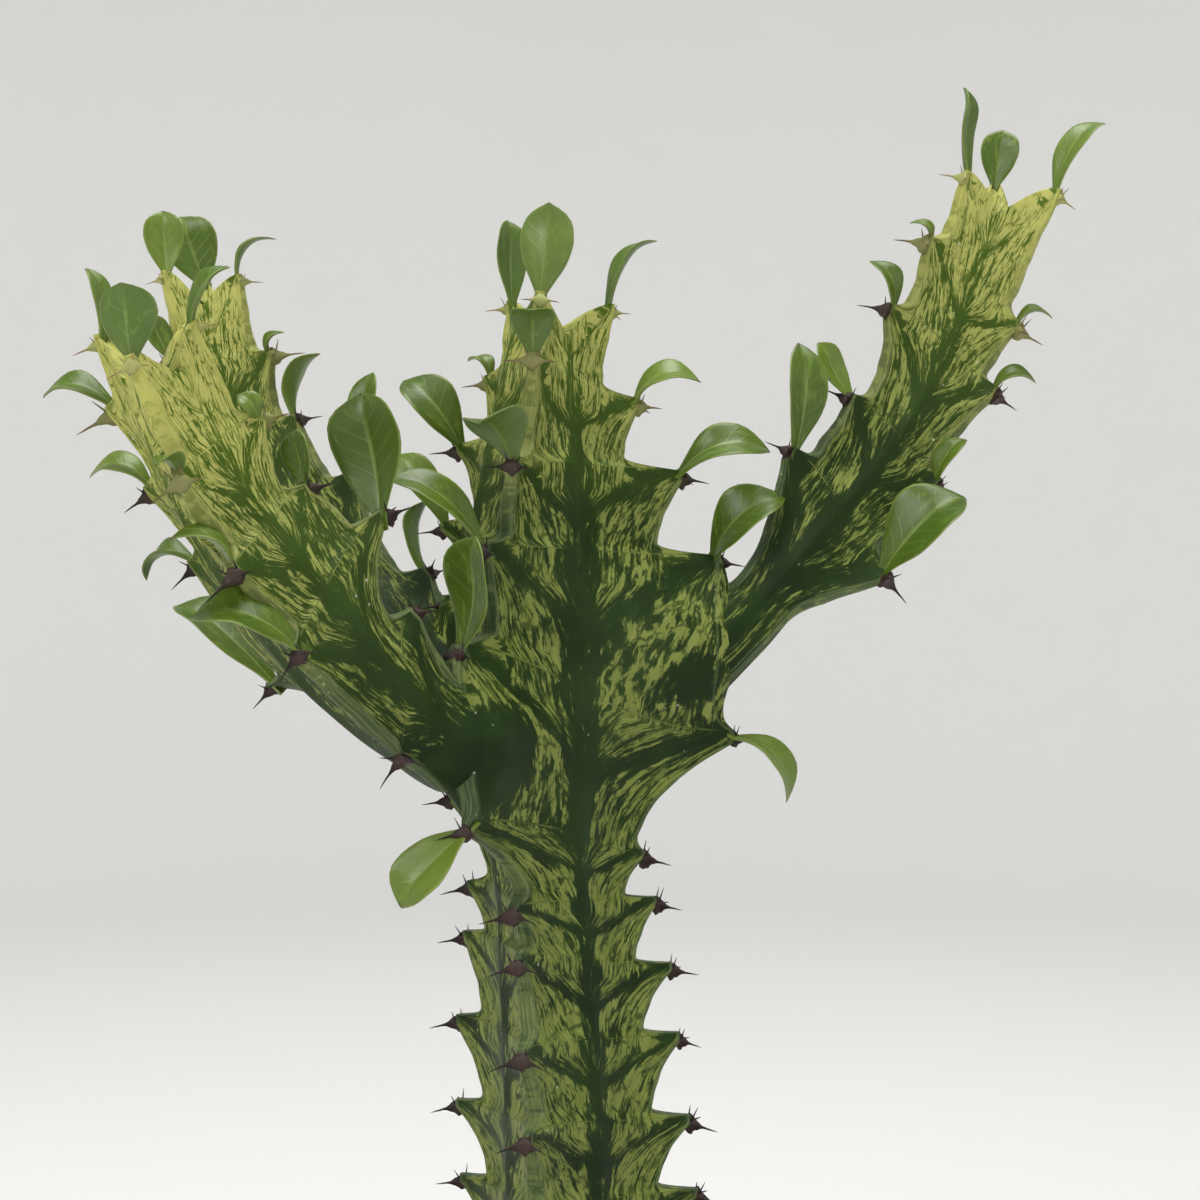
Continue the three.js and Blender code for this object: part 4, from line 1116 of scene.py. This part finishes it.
def skin_material():
    n = Nodes("variegated_skin")
    m, phase, along, across = (n.value(k) for k in ("m", "phase", "along", "across"))
    sector, young, pale = (n.value(k) for k in ("sector", "young", "pale"))
    place = n.place()
    drift = n.noise(place, 95, 2) - 0.5
    ragged = n.noise(place, 420, 3, 0.6) - 0.5
    # The pattern's own phase drops toward the valley, so that each patch hangs from its tooth
    slope = n.math("POWER", n.value("inward"), WEDGE_POWER) * WEDGE_SLOPE
    unrest = drift * 0.2 + ragged * 0.07
    height = phase + slope + unrest
    bay = n.value("bay")
    over = n.math("GREATER_THAN", height - bay, 1.0)
    share = height - (bay + over)
    line = (1 - over) * n.value("own_line") + over * n.value("next_line")
    # Streaks run along the lines that gather at the tooth
    seed = sector * 7.3 + (bay + over) * 3.7
    run = along + n.value("inward") * -6
    flow = n.vector(line * 13 + drift * 2.2, run * 0.15, seed)
    broad = n.noise(flow, 1.0, 4, 0.62, 0.5)
    flow_fine = n.vector(line * 30 + drift * 3.2, run * 0.21, seed)
    fine = n.noise(flow_fine, 1.0, 3, 0.6, 0.6)
    streak = broad * 0.58 + fine * 0.42
    # Where the skin stays dark: the wedge that runs in and down from each shelf, and the valleys
    edge_gap = n.math("MINIMUM", share, (1 - share) * 1.5)
    grown = 1 - young * 0.8
    wedge = n.step(edge_gap, 0.17, 0.0) * grown
    valley = n.step(m + drift * 0.3, 0.78, 0.94) * grown
    bias = (pale - 0.5) * 0.42 - wedge * 0.13 - valley * 0.13
    # Painted shade: the skin made darker round the feet of the side stems
    for spot, radius in JOINT_SHADE_PATCHES:
        bias = bias - n.near(spot, radius) * 0.24
    clear = streak + bias + ragged * 0.16
    # Broken dark lines net the pale patches
    mesh = n.vector(line * 9 + ragged, run * 0.17, seed)
    net = n.cells(mesh, 1.0, "DISTANCE_TO_EDGE")
    broken = n.step(n.noise(place, 330, 2), 0.38, 0.55)
    crack = n.step(net, 0.085, 0.03) * broken
    seam = n.step(edge_gap, 0.03, 0.008) * grown
    light = n.step(clear, 0.475, 0.525) * (1 - crack * 0.8) * (1 - seam)
    halo = n.step(clear, 0.40, 0.50)
    # Colours
    tone = n.noise(place, 60, 2)
    dark = n.mix(n.step(tone, 0.35, 0.7), DARK_GREEN, DEEP_GREEN)
    bright = n.mix(n.noise(place, 140, 3), PALE_GREEN, PALE_WARM)
    ghost = n.step(n.noise(flow_fine, 0.7, 2), 0.42, 0.62)
    bright = n.mix(ghost * 0.35, bright, SHADE_GREEN)
    dark = n.mix(halo * 0.35, dark, SHADE_GREEN)
    dark = n.mix(young, dark, FRESH_GREEN)
    bright = n.mix(young, bright, CREAM)
    colour = n.mix(light, dark, bright)
    # The rib's edge: a narrow band of painted sheen, bluish with pale stripes along it; on young skin
    # the band turns to the young edge's own colour
    sheen_band = n.step(m, 0.045, 0.01) * n.step(n.math("ABSOLUTE", across), 2.4, 1.5)
    sheen_place = n.vector(across * 2.4, along * 0.07, sector * 3)
    sheen_stripe = n.noise(sheen_place, 1.0, 3, 0.6)
    edge = n.mix(n.step(sheen_stripe, 0.42, 0.6), SHEEN_BLUE_GREEN, SHEEN_STRIPE_GREEN)
    edge = n.mix(young, edge, YOUNG_EDGE)
    colour = n.mix(sheen_band * 0.6, colour, edge)
    # Corky scars, specks of dust and lime
    scars = None
    for spot, radius in SCARS:
        here = n.near(spot, radius)
        scars = here if scars is None else n.math("MAXIMUM", scars, here)
    scars = n.step(scars + ragged * 1.3, 0.35, 0.75)
    colour = n.mix(scars * 0.85, colour, BROWN)
    speck = n.step(n.cells(place, 240), 0.10, 0.05)
    chance = n.step(n.noise(place, 700, 0), 0.60, 0.64)
    colour = n.mix(speck * chance * 0.6, colour, (0.55, 0.56, 0.50))
    waxy = n.noise(place, 30, 2)
    colour = n.mix(n.step(waxy, 0.45, 0.8) * 0.015, colour, (0.30, 0.36, 0.30))
    roughness = 0.42 + n.noise(place, 160, 3) * 0.2
    pores = n.noise(place, 2600, 2, 0.6)
    relief = pores * 0.25 + (light * 0.35 + fine * 0.3)
    normal = n.bump(relief, 0.35, 0.22)
    return n.finish(colour, roughness, normal, Specular_IOR_Level=0.12)


def leaf_material():
    n = Nodes("leaf_blade")
    t, e, under, chance, young = (n.value(k) for k in ("t", "e", "under", "chance", "young"))
    place = n.place()
    far = n.math("ABSOLUTE", e)
    drift = n.noise(place, 120, 2) - 0.5
    seed = chance * 31
    flow = n.vector(e * 2.3, t * 3.2 + far * -1.1, seed)
    patch = n.noise(flow, 1.3, 4, 0.6, 0.6)
    light = n.step(patch + (chance - 0.5) * 0.12, 0.53, 0.62)
    body = n.mix(n.noise(place, 85, 3), (0.026, 0.062, 0.004), (0.088, 0.138, 0.010))
    pale = n.mix(young, (0.120, 0.190, 0.022), (0.200, 0.270, 0.035))
    colour = n.mix(light * 0.55, body, pale)
    colour = n.mix(young * 0.35, colour, (0.09, 0.16, 0.015))
    colour = n.mix(n.step(chance, 0.5, 0.9) * 0.55, colour, (0.150, 0.220, 0.025))
    # Side veins leave the midrib at a slant
    vein = n.math("SINE", (t - far * 0.22 + drift * 0.03) * 44)
    vein = n.step(vein, 0.82, 0.98) * n.step(far, 0.97, 0.6)
    colour = n.mix(vein * 0.16, colour, (0.17, 0.26, 0.05))
    midrib = n.step(far, 0.10, 0.02) * n.step(t, 1.0, 0.5)
    colour = n.mix(midrib * 0.45, colour, (0.22, 0.31, 0.08))
    margin = n.step(far + drift * 0.08, 0.90, 0.985)
    colour = n.mix(margin * 0.45, colour, (0.24, 0.30, 0.06))
    colour = n.mix(under * 0.3, colour, (0.12, 0.19, 0.05))
    tip = n.step(t, 0.965, 1.0) * n.step(chance, 0.5, 0.6)
    colour = n.mix(tip * 0.7, colour, (0.10, 0.05, 0.025))
    roughness = 0.27 + n.noise(place, 200, 2) * 0.2
    relief = vein * -0.4 + n.noise(place, 1500, 3, 0.6) * 0.35
    normal = n.bump(relief, 0.3, 0.18)
    return n.finish(colour, roughness, normal, Specular_IOR_Level=0.4)


def spine_material():
    n = Nodes("horny_spine")
    horn, youth, chance = (n.value(k) for k in ("horn", "youth", "chance"))
    place = n.place()
    grain = n.noise(place, 900, 3, 0.6)
    shield = n.mix(grain, (0.018, 0.009, 0.008), (0.060, 0.034, 0.029))
    point = n.mix(chance, (0.010, 0.005, 0.005), (0.024, 0.010, 0.008))
    colour = n.mix(n.step(horn, 0.12, 0.42), shield, point)
    fresh = n.mix(n.step(horn, 0.3, 0.9), (0.38, 0.40, 0.13), (0.24, 0.14, 0.06))
    colour = n.mix(youth * 0.85, colour, fresh)
    crust = n.step(grain, 0.62, 0.72) * n.step(horn, 0.35, 0.1)
    colour = n.mix(crust * 0.4, colour, (0.26, 0.23, 0.20))
    roughness = 0.4 + grain * 0.3
    normal = n.bump(grain, 0.5, 0.15)
    return n.finish(colour, roughness, normal, Specular_IOR_Level=0.3)


def clay_material():
    n = Nodes("fired_clay")
    place = n.place()
    level = n.node("SeparateXYZ", {0: place}, "Z")
    cloud = n.noise(place, 22, 4, 0.6)
    grain = n.noise(place, 900, 4, 0.7)
    colour = n.mix(cloud, (0.42, 0.155, 0.070), (0.56, 0.245, 0.125))
    colour = n.mix(n.step(grain, 0.55, 0.75), colour, (0.62, 0.33, 0.20))
    pits = n.step(n.cells(place, 420), 0.16, 0.08)
    colour = n.mix(pits * 0.5, colour, (0.22, 0.08, 0.04))
    lime = n.step(n.noise(place, 38, 5, 0.65), 0.55, 0.72) * n.step(level, 0.075, 0.02)
    rim_lime = n.step(n.noise(place, 55, 5, 0.65), 0.50, 0.70) * n.step(level, 0.102, 0.118)
    crust = n.math("MAXIMUM", lime, rim_lime)
    colour = n.mix(crust * 0.45, colour, (0.70, 0.62, 0.52))
    # Darker in patches towards the bottom of the pot
    low_darkening = n.step(n.noise(place, 16, 3), 0.45, 0.65) * n.step(level, 0.03, 0.0)
    colour = n.mix(low_darkening * 0.5, colour, (0.20, 0.09, 0.05))
    rings = n.math("SINE", level * 2600 + cloud * 3)
    relief = rings * 0.14 + (grain * 0.5 + pits * -0.6)
    normal = n.bump(relief, 0.35, 0.25)
    roughness = 0.72 + n.noise(place, 120, 2) * 0.2
    return n.finish(colour, roughness, normal)


def soil_material():
    n = Nodes("potting_mix")
    place = n.place()
    crumb = n.noise(place, 700, 5, 0.75)
    clod = n.cells(place, 420)
    colour = n.mix(n.noise(place, 90, 3), (0.022, 0.014, 0.009), (0.055, 0.034, 0.020))
    colour = n.mix(n.step(crumb, 0.52, 0.72), colour, (0.095, 0.062, 0.038))
    relief = crumb + clod * -0.6
    normal = n.bump(relief, 0.9, 0.9)
    return n.finish(colour, 0.92, normal)


def grain_material():
    n = Nodes("mix_grains")
    kind, chance = n.value("kind"), n.value("chance")
    place = n.place()
    grain = n.noise(place, 1400, 4, 0.7)
    peat = n.mix(chance, (0.020, 0.012, 0.008), (0.075, 0.045, 0.026))
    perlite = n.mix(grain, (0.50, 0.47, 0.42), (0.78, 0.76, 0.71))
    grit = n.mix(chance, (0.16, 0.13, 0.10), (0.34, 0.27, 0.20))
    bark = n.mix(grain, (0.055, 0.026, 0.014), (0.16, 0.075, 0.038))
    colour = n.mix(n.step(kind, 0.45, 0.55), peat, perlite)
    colour = n.mix(n.step(kind, 1.45, 1.55), colour, grit)
    colour = n.mix(n.step(kind, 2.45, 2.55), colour, bark)
    colour = n.mix(n.step(grain, 0.58, 0.7) * 0.3, colour, (0.06, 0.04, 0.03))
    normal = n.bump(grain, 0.6, 0.3)
    return n.finish(colour, 0.88, normal)


def plain_material(name, colour, roughness):
    n = Nodes(name)
    shade = n.mix(n.noise(n.place(), 3.0, 2) * 0.25, colour, tuple(c * 0.93 for c in colour))
    return n.finish(shade, roughness)


# The object's pieces

skin, blade, horn = skin_material(), leaf_material(), spine_material()
stems = (MAIN_STEM, RIGHT_BRANCH, FRONT_LEFT_BRANCH, BACK_LEFT_BRANCH)
skins = [stem_skin(stem, skin) for stem in stems]
swell_joints(skins)
for stem, stem_piece in zip(stems, skins):
    for piece in (stem_piece, stem_leaves(stem, blade), stem_spines(stem, horn)):
        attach(piece, "root")
        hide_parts(stem["name"])

pot = pot_piece(clay_material())
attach(pot, "root")
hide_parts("pot")
for piece in (soil_piece(soil_material()), grains_piece(grain_material())):
    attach(piece, "root")
    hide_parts("soil")


# Stage and light

def stage_bowl():
    """A round pale floor that curves up into a wall on every side."""
    profile = [[STAGE_FLOOR * i / 6, 0] for i in range(1, 7)]
    for i in range(1, 13):
        a = math.pi / 2 * i / 12
        profile.append([STAGE_FLOOR + STAGE_BEND * math.sin(a), STAGE_BEND * (1 - math.cos(a))])
    profile.append([STAGE_FLOOR + STAGE_BEND, STAGE_WALL])
    points = [[0, 0, 0]]
    for radius, height in profile:
        points += circle(radius, height, STAGE_SIDES)
    faces = [[0, 1 + s, 1 + (s + 1) % STAGE_SIDES] for s in range(STAGE_SIDES)]
    for r in range(len(profile) - 1):
        for s in range(STAGE_SIDES):
            d = (s + 1) % STAGE_SIDES
            a = 1 + r * STAGE_SIDES
            faces.append([a + s, a + STAGE_SIDES + s, a + STAGE_SIDES + d, a + d])
    grey = plain_material("stage_grey", (0.80, 0.80, 0.79), 0.85)
    mesh_object("stage_bowl", points, faces, grey)


stage_bowl()


def area_light(name, spot, target, size, power, colour):
    data = bpy.data.lights.new(name, "AREA")
    data.shape, data.size, data.energy, data.color = "DISK", size, power, colour
    lamp = bpy.data.objects.new(name, data)
    lamp.location = spot
    way = Vector(target) - Vector(spot)
    lamp.rotation_euler = way.to_track_quat("-Z", "Y").to_euler()
    bpy.context.collection.objects.link(lamp)


PLANT_MIDDLE = (0, 0, 0.28)
area_light("top", (0.1, -0.1, 1.9), PLANT_MIDDLE, 1.2, 30, (1.0, 0.99, 0.97))
area_light("key", (-0.9, -1.2, 1.25), PLANT_MIDDLE, 0.8, 13, (1.0, 0.985, 0.96))
area_light("fill", (1.3, -0.9, 0.7), PLANT_MIDDLE, 1.1, 3, (0.95, 0.975, 1.0))
world = bpy.data.worlds.new("studio")
world.use_nodes = True
world.node_tree.nodes["Background"].inputs["Color"].default_value = (0.86, 0.88, 0.90, 1)
world.node_tree.nodes["Background"].inputs["Strength"].default_value = 0.28
bpy.context.scene.world = world
bpy.context.scene.view_settings.view_transform = "Standard"

camera_data = bpy.data.cameras.new("camera")
camera_data.sensor_fit = "HORIZONTAL"
camera_data.sensor_width = 36
camera_data.lens = camera_data.sensor_width / 2 * -CAMERA_SPOT[1] / CAMERA_HALF_VIEW
camera_data.dof.use_dof = False
camera_data.clip_start = 0.01
camera = bpy.data.objects.new("camera", camera_data)
camera.location = [c * MM for c in CAMERA_SPOT]
camera.rotation_euler = (math.pi / 2, 0, 0)
bpy.context.collection.objects.link(camera)
bpy.context.scene.camera = camera
